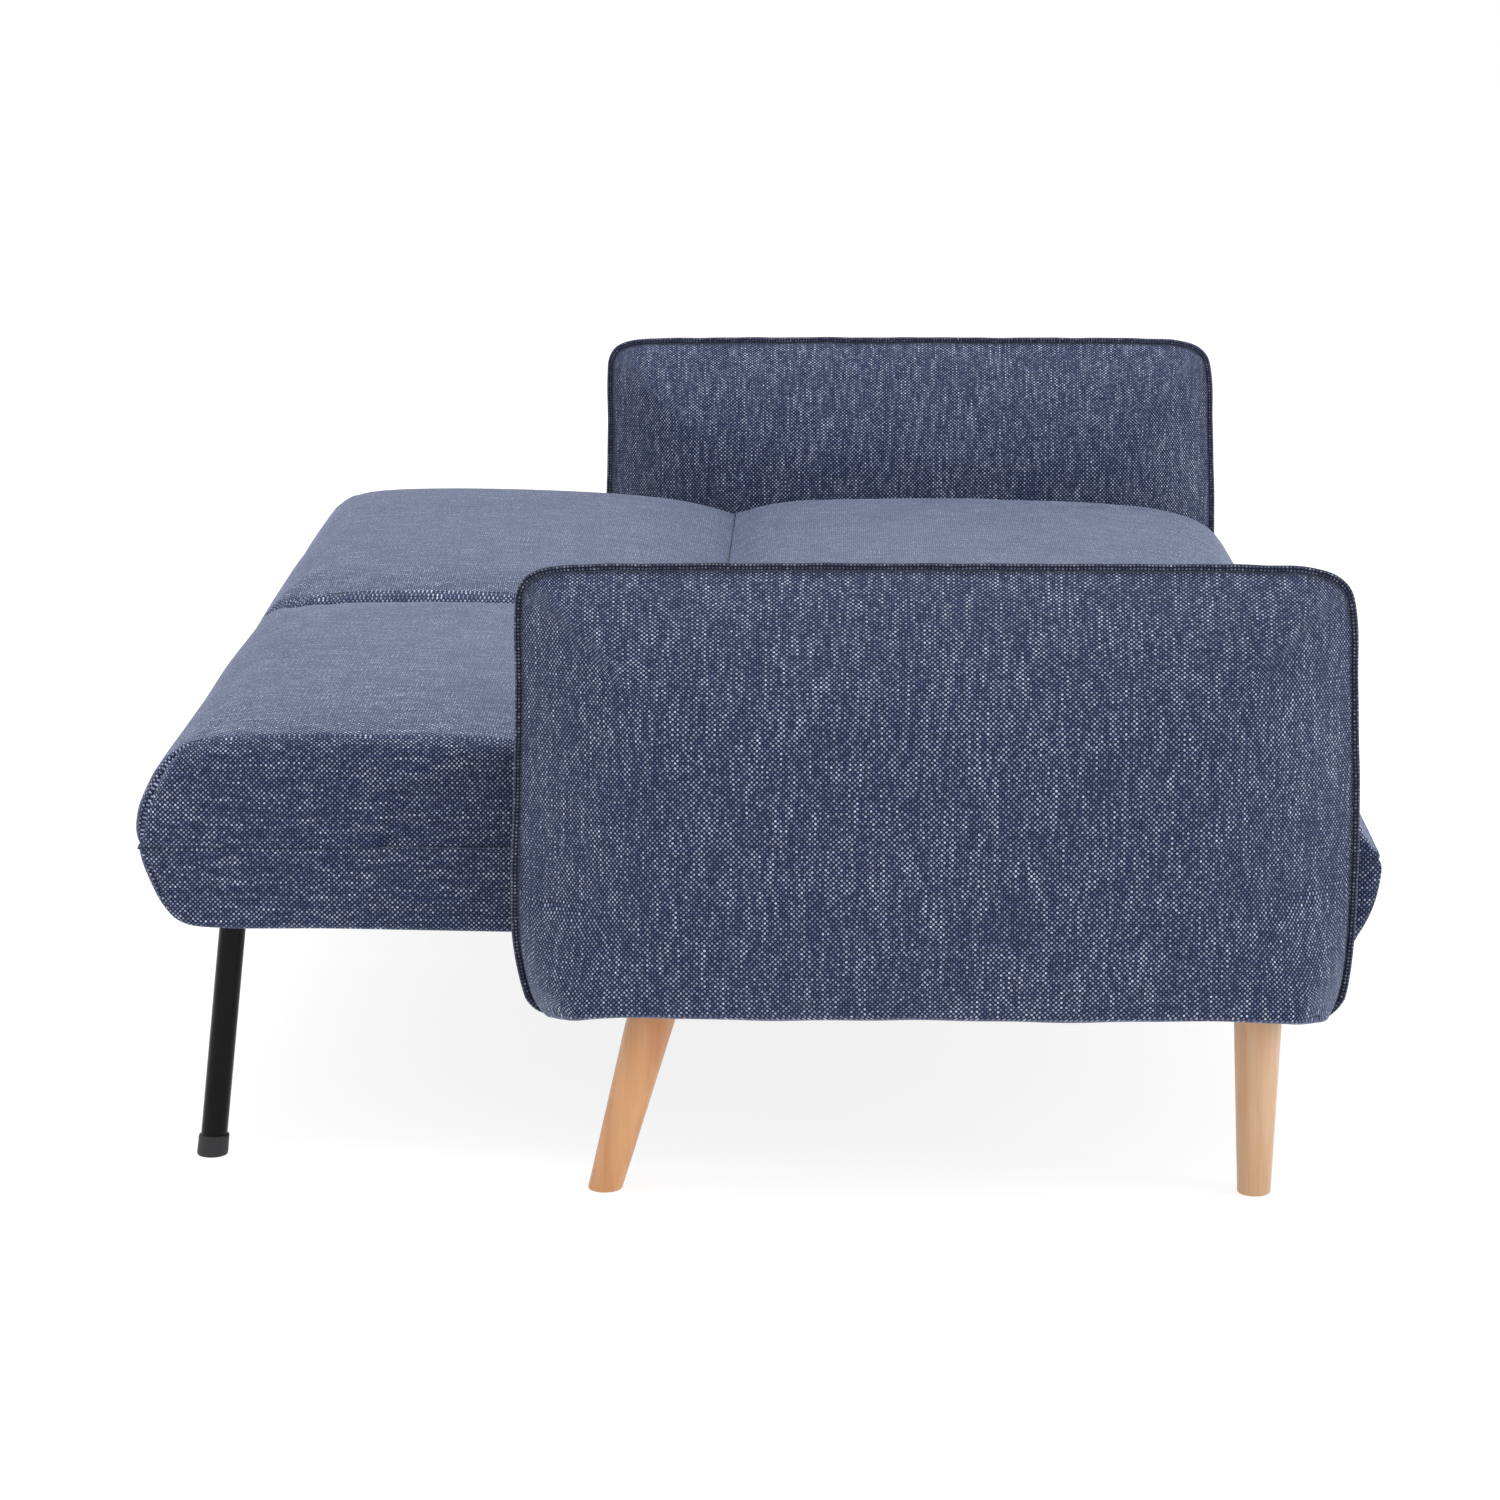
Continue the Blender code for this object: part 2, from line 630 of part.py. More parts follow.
def make_back(side_name, side):
    """One half of the back, lying flat: rails, backing panel, covers of its base, and the pad."""
    axis = joint_empty(f"back_{side_name}_axis", (side * (SPLIT_HALF + BACK_END) / 2, PIVOT_Y, PIVOT_HEIGHT))
    name = f"back_{side_name}"
    zs = (BACK_RAIL_LOW, BACK_RAIL_TOP)
    top_rail_front = BACK_FRAME_REAR - BACK_TOP_RAIL_WIDTH
    rail_ys = (BACK_FRAME_FRONT, top_rail_front - TOUCH)
    frame_xs = (SPLIT_HALF + BACK_FRAME_SPLIT_SETBACK, END_COVER_INNER - SOFT_GAP)
    pieces = [
        box(name + "_outer_rail", spans(side, *OUTER_RAIL), rail_ys, zs, PINE),
        box(name + "_inner_rail", spans(side, *INNER_RAIL), rail_ys, zs, PINE),
        box(name + "_top_rail", spans(side, *frame_xs), (top_rail_front, BACK_FRAME_REAR), zs, PINE),
        box(
            name + "_panel",
            spans(side, *frame_xs),
            (PANEL_FRONT, BACK_FRAME_REAR),
            (PANEL_LOW, PANEL_LOW + PANEL_THICKNESS),
            PLYWOOD,
        ),
    ]
    end_outline = rounded_outline(base_outline(BACK_FRONT + END_COVER_SETBACK))
    pieces.append(prism(name + "_end_cover", end_outline, spans(side, END_COVER_INNER, BACK_END), FABRIC))
    rear_outline = rounded_outline(base_outline(BACK_FRAME_REAR + SOFT_GAP))
    rear_xs = spans(side, SPLIT_HALF, END_COVER_INNER - TOUCH)
    pieces.append(prism(name + "_rear_cover", rear_outline, rear_xs, FABRIC))
    pieces.append(make_back_pad(name, side_name, side))
    for place, (_, plate_xs) in HINGES.items():
        pieces.append(
            hinge_plate(
                f"hinge_{side_name}_{place}_back_plate",
                spans(side, *plate_xs),
                (BACK_PLATE_FRONT, BACK_PLATE_REAR),
                BACK_RAIL_LOW + PLATE_LIFT,
            )
        )
    pieces.append(make_bracket(side_name, side))
    for piece in pieces:
        hold(piece, axis)
    make_support_leg(side_name, side, axis)


def make_back_pad(name, side_name, side):
    crown_y = (BACK_FRONT + REAR) / 2 + BACK_CROWN_REARWARD
    corners = [
        (BACK_FRONT, BACK_SEAM, PAD_HEM_RADIUS / 2),
        (REAR, BACK_SEAM, PAD_HEM_RADIUS),
        (REAR - BACK_BULGE_IN, BACK_SEAM + BACK_BULGE_UP, BACK_BULGE_RADIUS),
        (REAR - BACK_SHOULDER_IN, PAD_TOP + BACK_SHOULDER_UP, BACK_SHOULDER_RADIUS),
        (crown_y, PAD_TOP + BACK_CROWN_UP, CROWN_RADIUS),
        (BACK_FRONT, PAD_TOP - PAD_EDGE_DROP, JUNCTION_RADIUS),
    ]
    pad = prism(name + "_pad", rounded_outline(corners), spans(side, SPLIT_HALF, BACK_END), FABRIC)
    for place, plates in HINGES.items():
        combine(pad, notch_cutter(f"back_notch_{side_name}_{place}_cutter", side, plates, BACK_FRONT))
    return pad


def hinge_plate(name, xs, foot_ys, foot_z):
    """A flat steel plate: a straight foot, drawn into a round boss on the pivot, with its pin hole."""
    angles = np.linspace(0, 2 * math.pi, ROUND_SIDES, endpoint=False)
    boss = [
        (PIVOT_Y + BOSS_RADIUS * math.cos(angle), PIVOT_HEIGHT + BOSS_RADIUS * math.sin(angle))
        for angle in angles
    ]
    points = [(foot_ys[0], foot_z), (foot_ys[1], foot_z), *boss]
    plate = prism(name, [points[index] for index in convex_hull_2d(points)], xs, STEEL)
    margin = PLATE_THICKNESS
    hole = rod(
        name + "_cutter", PIN_RADIUS + HOLE_GAP, (xs[0] - margin, xs[1] + margin), PIVOT_Y, PIVOT_HEIGHT
    )
    combine(plate, hole)
    return plate


def make_hinge_fixed_side(side_name, side, place, plates):
    """The plate on the seat frame and the riveted pivot pin that it carries."""
    seat_xs, back_xs = plates
    name = f"hinge_{side_name}_{place}"
    foot_ys = (SEAT_PLATE_REAR - PLATE_FOOT, SEAT_PLATE_REAR)
    hinge_plate(name + "_seat_plate", spans(side, *seat_xs), foot_ys, RAIL_LOW + PLATE_LIFT)
    low = min(seat_xs[0], back_xs[0]) - TOUCH
    high = max(seat_xs[1], back_xs[1]) + TOUCH
    spare = PIN_HEAD_THICKNESS / 2
    pin = rod(name + "_pin", PIN_RADIUS, spans(side, low - spare, high + spare), PIVOT_Y, PIVOT_HEIGHT, STEEL)
    for end, xs in (("low", (low - PIN_HEAD_THICKNESS, low)), ("high", (high, high + PIN_HEAD_THICKNESS))):
        head = rod(
            f"{name}_pin_{end}_joiner", PIN_HEAD_RADIUS, spans(side, *xs), PIVOT_Y, PIVOT_HEIGHT
        )
        combine(pin, head, "UNION")


def make_bracket(side_name, side):
    """A U channel under the panel, open towards the floor and the seat, with its riveted pivot."""
    name = f"support_leg_{side_name}_bracket"
    rear = SUPPORT_Y + BRACKET_REAR
    top = BACK_RAIL_TOP
    ys = (rear - BRACKET_LENGTH, rear)
    bracket = box(name, spans(side, BRACKET_IN, BRACKET_OUT), ys, (top - BRACKET_HEIGHT, top), BLACK_STEEL)
    channel = box(
        name + "_channel_cutter",
        spans(side, BRACKET_IN + BRACKET_WALL, BRACKET_OUT - BRACKET_WALL),
        (ys[0] - BRACKET_WALL, ys[1] + BRACKET_WALL),
        (top - 2 * BRACKET_HEIGHT, top - BRACKET_WALL),
    )
    combine(bracket, channel)
    shank_xs = spans(side, BRACKET_IN - RIVET_PROUD, BRACKET_OUT + RIVET_PROUD)
    shank = rod(name + "_shank_joiner", PIN_RADIUS, shank_xs, SUPPORT_Y, SUPPORT_HEIGHT)
    head_xs = spans(side, BRACKET_OUT - BRACKET_WALL / 2, BRACKET_OUT + PIN_HEAD_THICKNESS)
    head = rod(name + "_head_joiner", PIN_HEAD_RADIUS, head_xs, SUPPORT_Y, SUPPORT_HEIGHT)
    combine(bracket, shank, "UNION")
    combine(bracket, head, "UNION")
    return bracket


def make_support_leg(side_name, side, back_axis):
    """A tube that swings on its bracket's pivot, leaning to the rear, with a cap cut level at the floor."""
    place = (side * SUPPORT_X, SUPPORT_Y, SUPPORT_HEIGHT)
    axis = joint_empty(f"support_leg_{side_name}_axis", place, back_axis)
    name = f"support_leg_{side_name}"
    length = SUPPORT_HEIGHT / math.cos(TUBE_LEAN)
    lean_spare = CAP_RADIUS * math.tan(TUBE_LEAN)
    cap_inside = -length + lean_spare + CAP_FLOOR
    tube_end = cap_inside + TOUCH
    bore = TUBE_RADIUS - TUBE_WALL
    ring = [
        (TUBE_RADIUS, TUBE_OVERRUN),
        (TUBE_RADIUS, tube_end),
        (bore, tube_end),
        (bore, TUBE_OVERRUN),
    ]
    tube = turned(name + "_tube", ring, place, TUBE_LEAN, BLACK_STEEL, closed_ring=True)
    pin_hole = rod(
        name + "_pivot_cutter",
        PIN_RADIUS + HOLE_GAP,
        spans(side, SUPPORT_X - 2 * TUBE_RADIUS, SUPPORT_X + 2 * TUBE_RADIUS),
        SUPPORT_Y,
        SUPPORT_HEIGHT,
    )
    combine(tube, pin_hole)
    socket = TUBE_RADIUS + TOUCH
    cap_top = -length + CAP_HEIGHT
    cup = [
        (0, cap_inside),
        (socket, cap_inside),
        (socket, cap_top),
        (CAP_RADIUS, cap_top),
        (CAP_RADIUS, -length - 2 * lean_spare),
        (0, -length - 2 * lean_spare),
    ]
    cap = turned(name + "_cap", cup, place, TUBE_LEAN, BLACK_PLASTIC)
    combine(cap, LEG_SLAB, "INTERSECT")
    for piece in (tube, cap):
        hold(piece, axis)


clear_scene()
PARTS = new_collection("futon_sofa_bed")
CUTTERS = new_collection("cutters")
FABRIC = new_material("navy_weave", (0.07, 0.10, 0.21), 0.95)
PINE = new_material("pine", (0.62, 0.45, 0.27), 0.7)
PLYWOOD = new_material("plywood", (0.55, 0.40, 0.25), 0.75)
BEECH = new_material("beech", (0.69, 0.42, 0.20), 0.45)
STEEL = new_material("zinc_steel", (0.55, 0.56, 0.58), 0.35, 1.0)
BLACK_STEEL = new_material("black_steel", (0.012, 0.013, 0.016), 0.35, 0.0)
BLACK_PLASTIC = new_material("black_plastic", (0.02, 0.02, 0.022), 0.5)
LEG_SLAB = box("leg_slab_cutter", (-LENGTH, LENGTH), (-LENGTH, LENGTH), (0, LEG_TOP))

SEAT_RAILS = make_seat_frame()
make_seat_pad()
make_seat_front_cover()
for side_name, side in SIDES.items():
    arm_pad, arm_core = make_arm(side_name, side)
    front_y = ARM_FRONT + FRONT_LEG_SETBACK
    rear_y = ARM_REAR - REAR_LEG_SETBACK
    make_beech_leg(f"leg_front_{side_name}", side, front_y, 0.0, arm_core)
    make_beech_leg(f"leg_rear_{side_name}", side, rear_y, REAR_LEG_RAKE, arm_core)
    for place, setback in (("front", FRONT_BOLT_SETBACK), ("rear", REAR_BOLT_SETBACK)):
        make_arm_bolt(
            f"arm_bolt_{place}_{side_name}",
            side,
            ARM_FRONT + setback,
            arm_pad,
            arm_core,
            SEAT_RAILS[side_name],
        )
    for hinge_place, hinge_plates in HINGES.items():
        make_hinge_fixed_side(side_name, side, hinge_place, hinge_plates)
    make_back(side_name, side)
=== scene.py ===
"""Looks of a futon sofa bed with a split click-clack back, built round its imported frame.

Lengths are in metres. +X runs along the sofa, -Y is its front and +Z is up, as in the frame.
"""

import json
import math

import bmesh
import bpy
import numpy as np
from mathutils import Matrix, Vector


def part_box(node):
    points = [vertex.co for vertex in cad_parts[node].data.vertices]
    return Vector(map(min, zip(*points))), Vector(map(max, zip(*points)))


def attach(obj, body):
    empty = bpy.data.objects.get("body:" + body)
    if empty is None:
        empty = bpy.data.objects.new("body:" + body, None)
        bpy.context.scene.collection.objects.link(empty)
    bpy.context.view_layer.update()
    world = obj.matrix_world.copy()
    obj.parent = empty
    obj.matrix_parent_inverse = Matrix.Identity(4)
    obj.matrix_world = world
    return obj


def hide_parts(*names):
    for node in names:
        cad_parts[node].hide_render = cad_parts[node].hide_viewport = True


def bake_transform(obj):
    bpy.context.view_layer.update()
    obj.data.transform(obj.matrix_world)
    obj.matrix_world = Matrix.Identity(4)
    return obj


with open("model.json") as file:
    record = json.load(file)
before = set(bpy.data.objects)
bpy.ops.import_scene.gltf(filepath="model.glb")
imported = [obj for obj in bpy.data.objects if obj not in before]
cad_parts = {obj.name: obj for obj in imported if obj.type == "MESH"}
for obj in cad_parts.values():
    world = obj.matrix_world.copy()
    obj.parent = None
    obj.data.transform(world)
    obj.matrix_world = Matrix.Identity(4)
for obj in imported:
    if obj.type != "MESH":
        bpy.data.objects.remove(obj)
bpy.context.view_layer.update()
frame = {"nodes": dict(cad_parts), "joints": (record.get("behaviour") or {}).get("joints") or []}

bl_info = {
    "name": "Futon sofa bed",
    "version": (1, 0, 0),
    "blender": (4, 5, 0),
    "location": "3D View > Sidebar > Futon",
    "description": "Upholstery, legs, finishes and studio of a futon sofa bed",
    "category": "Object",
}

SIDES = {"left": -1.0, "right": 1.0}
UV_NAME = "weave"
SWELL_FRAMES = 20
SENSOR_WIDTH = 36.0
PIPING_POINTS = 460

ARM_LOW, ARM_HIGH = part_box("arm_right_pad")
SEAT_LOW, SEAT_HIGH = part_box("seat_pad")
BACK_LOW, BACK_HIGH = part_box("back_right_pad")
BASE_LOW, BASE_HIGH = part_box("back_right_rear_cover")
END_LOW, END_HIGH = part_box("back_right_end_cover")
FRONT_LOW, FRONT_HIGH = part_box("seat_front_cover")
JOINTS = {joint["name"]: joint for joint in frame["joints"]}
PIVOT = JOINTS["back_right_recline"]["pos_m"]
SUPPORT = JOINTS["support_leg_right_fold"]["pos_m"]


def srgb(red, green, blue):
    """A colour given as 0-255 screen values, turned into the linear values that shaders take."""
    share = np.array((red, green, blue)) / 255
    linear = np.where(share <= 0.04045, share / 12.92, ((share + 0.055) / 1.055) ** 2.4)
    return tuple(linear)


class FutonSizes(bpy.types.PropertyGroup):
    """Sizes and colours that can be changed before the pieces are built."""

    thread_pitch: bpy.props.FloatProperty(
        name="Thread pitch", description="Distance from one thread of the weave to the next",
        default=0.00238, min=0.001, max=0.01, unit="LENGTH", precision=5,
    )
    piping_radius: bpy.props.FloatProperty(
        name="Piping radius", description="Radius of the corded piping round each arm",
        default=0.0037, min=0.001, max=0.008, unit="LENGTH", precision=4,
    )
    swell: bpy.props.FloatProperty(
        name="Swell", description="Most that the stuffing may push the covers out",
        default=0.005, min=0.0, max=0.03, unit="LENGTH", precision=4,
    )
    dark_yarn: bpy.props.FloatVectorProperty(
        name="Dark yarn", description="Colour of the navy yarn", subtype="COLOR",
        default=srgb(29, 36, 67), min=0, max=1,
    )
    mid_yarn: bpy.props.FloatVectorProperty(
        name="Mid yarn", description="Colour of the pale yarn where it is thin", subtype="COLOR",
        default=srgb(80, 90, 128), min=0, max=1,
    )
    light_yarn: bpy.props.FloatVectorProperty(
        name="Light yarn", description="Colour of the pale slub yarn", subtype="COLOR",
        default=srgb(205, 213, 238), min=0, max=1,
    )
    # The front legs' beech is the lit copy; the rear legs' deeper, warmer beech is the same wood in painted
    # shade
    lit_front_beech: bpy.props.FloatVectorProperty(
        name="Pale beech", description="Colour of the front legs", subtype="COLOR",
        default=srgb(205, 172, 140), min=0, max=1,
    )
    shaded_rear_beech: bpy.props.FloatVectorProperty(
        name="Warm beech", description="Colour of the rear legs", subtype="COLOR",
        default=srgb(205, 152, 104), min=0, max=1,
    )


# ---------------------------------------------------------------- materials


class Graph:
    """A material and short ways to add nodes to it."""

    def __init__(self, name):
        self.material = bpy.data.materials.new(name)
        self.material.use_nodes = True
        self.nodes = self.material.node_tree.nodes
        self.links = self.material.node_tree.links
        self.shader = self.nodes["Principled BSDF"]

    def put(self, socket, value):
        if isinstance(value, bpy.types.NodeSocket):
            self.links.new(value, socket)
        else:
            socket.default_value = value

    def add(self, kind, *values, out=0, **settings):
        node = self.nodes.new(kind)
        for key, value in settings.items():
            setattr(node, key, value)
        for index, value in enumerate(values):
            if value is not None:
                self.put(node.inputs[index], value)
        return node.outputs[out]

    def math(self, operation, first, second=0.0, third=0.0):
        return self.add("ShaderNodeMath", first, second, third, operation=operation)

    def vector(self, operation, first, second):
        return self.add("ShaderNodeVectorMath", first, second, operation=operation)

    def xyz(self, x, y, z=0.0):
        return self.add("ShaderNodeCombineXYZ", x, y, z)

    def noise(self, vector, scale, detail=2.0, roughness=0.5):
        node = self.nodes.new("ShaderNodeTexNoise")
        self.put(node.inputs["Vector"], vector)
        node.inputs["Scale"].default_value = scale
        node.inputs["Detail"].default_value = detail
        node.inputs["Roughness"].default_value = roughness
        return node.outputs["Fac"]

    def streaks(self, first, across, second, along, detail):
        """Noise of two thread counts, each squeezed by its own factor."""
        first, second = self.math("MULTIPLY", first, across), self.math("MULTIPLY", second, along)
        return self.noise(self.xyz(first, second), 1.0, detail, 0.6)

    def ramp(self, value, low, high, low_to=0.0, high_to=1.0):
        """A smooth step of the value from low to high, giving low_to to high_to."""
        node = self.nodes.new("ShaderNodeMapRange")
        node.interpolation_type = "SMOOTHSTEP"
        for index, setting in enumerate((value, low, high, low_to, high_to)):
            self.put(node.inputs[index], setting)
        return node.outputs[0]

    def mix(self, share, first, second):
        node = self.nodes.new("ShaderNodeMix")
        node.data_type = "RGBA"
        self.put(node.inputs[0], share)
        self.put(node.inputs[6], (*first, 1.0) if isinstance(first, tuple) else first)
        self.put(node.inputs[7], (*second, 1.0) if isinstance(second, tuple) else second)
        return node.outputs[2]

    def finish(self, colour, roughness, height=None, relief=0.0, **constants):
        """Joins colour, roughness and relief to the shader, with its constants on its own sockets."""
        shader = self.shader
        self.put(shader.inputs["Base Color"], (*colour, 1.0) if isinstance(colour, tuple) else colour)
        self.put(shader.inputs["Roughness"], roughness)
        if height is not None:
            bump = self.nodes.new("ShaderNodeBump")
            bump.inputs["Strength"].default_value = 1.0
            bump.inputs["Distance"].default_value = relief
            self.put(bump.inputs["Height"], height)
            self.links.new(bump.outputs[0], shader.inputs["Normal"])
        for key, value in constants.items():
            shader.inputs[key.replace("_", " ").capitalize()].default_value = value
        return self.material


def set_input(material, name, value):
    material.node_tree.nodes["Principled BSDF"].inputs[name].default_value = value


def weave_material(name, sizes, shade=1.0):
    """Plain weave of dark and pale yarn. The product of two cosines, counted in threads across and
    along the cloth, is above nought where a pale yarn lies on top and below it where a dark one
    does. Near nought, between the threads, the colour goes to a far darker navy: painted shade in
    the hollows between the yarns, which the heather also leans towards in random patches. Each
    crossing has its own brightness, and noise drawn out along single threads makes the slubs,
    which run along V. The shade factor darkens all three yarn colours; the piping's darker copy
    is the same cloth in painted shade."""
    graph = Graph(name)
    place = graph.add("ShaderNodeUVMap", uv_map=UV_NAME)
    cloth = place
    for scale, reach in ((42.0, 0.0016), (260.0, 0.0004)):
        drift = graph.add("ShaderNodeTexNoise", out=1)
        graph.put(drift.node.inputs["Vector"], place)
        drift.node.inputs["Scale"].default_value = scale
        drift.node.inputs["Detail"].default_value = 1.0
        shift = graph.vector(
            "MULTIPLY", graph.vector("SUBTRACT", drift, (0.5, 0.5, 0.5)), (reach, reach, 0.0),
        )
        cloth = graph.vector("ADD", cloth, shift)
    split = graph.nodes.new("ShaderNodeSeparateXYZ")
    graph.put(split.inputs[0], graph.vector(
        "MULTIPLY", cloth, (1 / sizes.thread_pitch, 1 / sizes.thread_pitch, 0.0),
    ))
    across, along = split.outputs[0], split.outputs[1]
    lift = graph.math(
        "MULTIPLY",
        graph.math("COSINE", graph.math("MULTIPLY", across, math.pi)),
        graph.math("COSINE", graph.math("MULTIPLY", along, math.pi)),
    )
    column, row = graph.math("ROUND", across), graph.math("ROUND", along)
    speck = graph.add("ShaderNodeTexWhiteNoise", graph.xyz(column, row), noise_dimensions="2D")
    slub = graph.streaks(column, 7.31, along, 0.055, 2.0)
    bundle = graph.streaks(across, 0.30, along, 0.05, 3.0)
    weft = graph.streaks(row, 5.17, across, 0.06, 2.0)
    cloud = graph.noise(cloth, 8.0, 3.0, 0.55)
    fuzz = graph.noise(cloth, 800.0, 1.0, 0.5)
    mottle = graph.noise(cloth, 210.0, 2.0, 0.6)
    heather = graph.noise(graph.vector("MULTIPLY", cloth, (150.0, 100.0, 0.0)), 1.0, 3.0, 0.65)
    tone = graph.math(
        "ADD", graph.ramp(slub, 0.42, 0.72, 0.0, 0.54), graph.ramp(bundle, 0.38, 0.72, 0.0, 0.19),
    )
    tone = graph.math(
        "ADD", tone, graph.math("MULTIPLY_ADD", speck, 0.50, graph.ramp(cloud, 0.3, 0.7, -0.14, -0.04)),
    )
    tone = graph.math("ADD", tone, graph.ramp(mottle, 0.35, 0.65, -0.13, 0.13))
    tone.node.use_clamp = True
    yarns = (sizes.dark_yarn, sizes.light_yarn, sizes.mid_yarn)
    dark, pale, mid = (tuple(shade * value for value in yarn) for yarn in yarns)
    # gap: a far darker navy, painted shade for the hollows between the threads; the heather darkens random
    # patches towards it too
    gap = tuple(0.28 * value for value in dark)
    raised = tuple(min(1.0, 1.35 * value) for value in dark)
    under = graph.mix(
        graph.ramp(graph.math("ADD", weft, graph.math("MULTIPLY", fuzz, 0.4)), 0.45, 0.9), dark, raised,
    )
    # Where the cosines near nought, between the threads, the colour goes to the painted shade
    under = graph.mix(graph.ramp(lift, -0.75, -0.05), under, gap)
    over = graph.mix(graph.math("POWER", tone, 1.5), mid, pale)
    colour = graph.mix(graph.ramp(lift, 0.02, 0.5), under, over)
    colour = graph.mix(graph.ramp(heather, 0.4, 0.62, 0.0, 0.26), colour, gap)
    height = graph.math("MULTIPLY_ADD", fuzz, 0.25, graph.math("ABSOLUTE", lift))
    material = graph.finish(colour, 0.9, height, 0.0004)
    set_input(material, "Specular IOR Level", 0.2)
    set_input(material, "Sheen Weight", 0.46)
    set_input(material, "Sheen Roughness", 0.4)
    set_input(material, "Sheen Tint", (0.68, 0.77, 1.0, 1.0))
    return material


def wood_material(name, light, dark, squeeze, polish, scale=1.0):
    """Grain from noise drawn out along the piece, with fine pores along the same way."""
    graph = Graph(name)
    place = graph.add("ShaderNodeTexCoord", out=3)
    drawn = graph.vector("MULTIPLY", place, squeeze)
    broad = graph.noise(drawn, 9.0 * scale, 3.0, 0.55)
    bent = graph.vector("ADD", drawn, graph.xyz(graph.math("MULTIPLY", broad, 0.12), 0.0))
    rings = graph.noise(bent, 55.0 * scale, 3.0, 0.6)
    pores = graph.noise(drawn, 420.0 * scale, 2.0, 0.6)
    share = graph.math("MULTIPLY_ADD", rings, 0.65, graph.math("MULTIPLY", broad, 0.55))
    colour = graph.mix(graph.ramp(share, 0.35, 0.85), light, dark)
    colour = graph.mix(graph.ramp(pores, 0.62, 0.8, 0.0, 0.35), colour, tuple(0.6 * value for value in dark))
    roughness = graph.ramp(pores, 0.4, 0.8, polish, min(1.0, polish + 0.2))
    material = graph.finish(colour, roughness, pores, 0.0001)
    set_input(material, "Coat Weight", 0.25 if polish < 0.5 else 0.0)
    set_input(material, "Coat Roughness", 0.25)
    return material


def metal_material(name, colour, roughness, metallic):
    """Metal with faint clouds in its colour and gloss."""
    graph = Graph(name)
    place = graph.add("ShaderNodeTexCoord", out=3)
    cloud = graph.noise(place, 35.0, 4.0, 0.6)
    grain = graph.noise(place, 900.0, 2.0, 0.5)
    shade = graph.mix(graph.ramp(cloud, 0.3, 0.7), tuple(0.8 * value for value in colour), colour)
    gloss = graph.ramp(cloud, 0.3, 0.75, roughness * 0.8, min(1.0, roughness * 1.3))
    material = graph.finish(shade, gloss, grain, 0.00003)
    set_input(material, "Metallic", metallic)
    return material


def matte_material(name, colour, roughness, scale, relief):
    """Moulded plastic or bonded fibre: one colour, broken up by fine noise."""
    graph = Graph(name)
    place = graph.add("ShaderNodeTexCoord", out=3)
    grain = graph.noise(place, scale, 3.0, 0.7)
    shade = graph.mix(
        graph.ramp(grain, 0.3, 0.7), tuple(0.7 * value for value in colour),
        tuple(min(1.0, 1.25 * value) for value in colour),
    )
    return graph.finish(shade, roughness, grain, relief)


def finishes(sizes):
    """The materials, made once and shared by name."""
    made = bpy.data.materials
    if "navy_weave_cloth" not in made:
        weave_material("navy_weave_cloth", sizes)
        # The piping's copy at 0.45 is painted shade: the same cloth, darkened as if the cord lay in shadow
        weave_material("navy_piping", sizes, 0.45)
        # Lit and shaded copies of one beech: the rear legs' colour is painted shade
        for place, colour in (("front", tuple(sizes.lit_front_beech)), ("rear", tuple(sizes.shaded_rear_beech))):
            deeper = tuple(value * share for value, share in zip(colour, (0.74, 0.55, 0.38)))
            wood_material(f"beech_{place}", colour, deeper, (1.0, 1.0, 0.07), 0.38)
        wood_material("pine_along_x", srgb(214, 178, 128), srgb(176, 132, 84), (0.06, 1.0, 1.0), 0.65)
        wood_material("pine_along_y", srgb(214, 178, 128), srgb(176, 132, 84), (1.0, 0.06, 1.0), 0.65)
        wood_material("plywood_sheet", srgb(196, 158, 112), srgb(160, 120, 80), (0.15, 1.0, 1.0), 0.7, 0.5)
        metal_material("zinc_plate", srgb(188, 190, 194), 0.35, 1.0)
        black = metal_material("black_enamel", srgb(5, 6, 8), 0.28, 0.0)
        set_input(black, "Specular IOR Level", 0.13)
        matte_material("black_rubber", srgb(22, 23, 26), 0.6, 700.0, 0.00008)
        matte_material("dust_cloth", srgb(48, 49, 54), 0.95, 500.0, 0.0002)
    return made


# ---------------------------------------------------------------- surfaces


def smooth_loop(rows, sharp=()):
    """A closed curve through the rows' first two columns: cubic pieces whose end directions are the
    mean of the directions to both neighbours, or one-sided at the sharp points. Further columns
    change evenly from row to row. Gives dense rows and the dense number of each given row."""
    rows = np.asarray(rows, float)
    points = rows[:, :2]
    steps = np.roll(points, -1, axis=0) - points
    lengths = np.linalg.norm(steps, axis=1, keepdims=True)
    ways = steps / lengths
    mean = ways + np.roll(ways, 1, axis=0)
    mean /= np.linalg.norm(mean, axis=1, keepdims=True)
    leave, arrive = mean.copy(), np.roll(mean, -1, axis=0).copy()
    for index in sharp:
        leave[index] = ways[index]
        arrive[index - 1] = ways[index - 1]
    fine = 24
    t = np.linspace(0, 1, fine, endpoint=False)[None, :, None]
    start, end = rows[:, None], np.roll(rows, -1, axis=0)[:, None]
    curve = (1 - t) * start + t * end
    curve[..., :2] = (
        (2 * t**3 - 3 * t**2 + 1) * start[..., :2]
        + (t**3 - 2 * t**2 + t) * (leave * lengths)[:, None]
        + (3 * t**2 - 2 * t**3) * end[..., :2]
        + (t**3 - t**2) * (arrive * lengths)[:, None]
    )
    return curve.reshape(-1, rows.shape[1]), np.arange(len(rows)) * fine


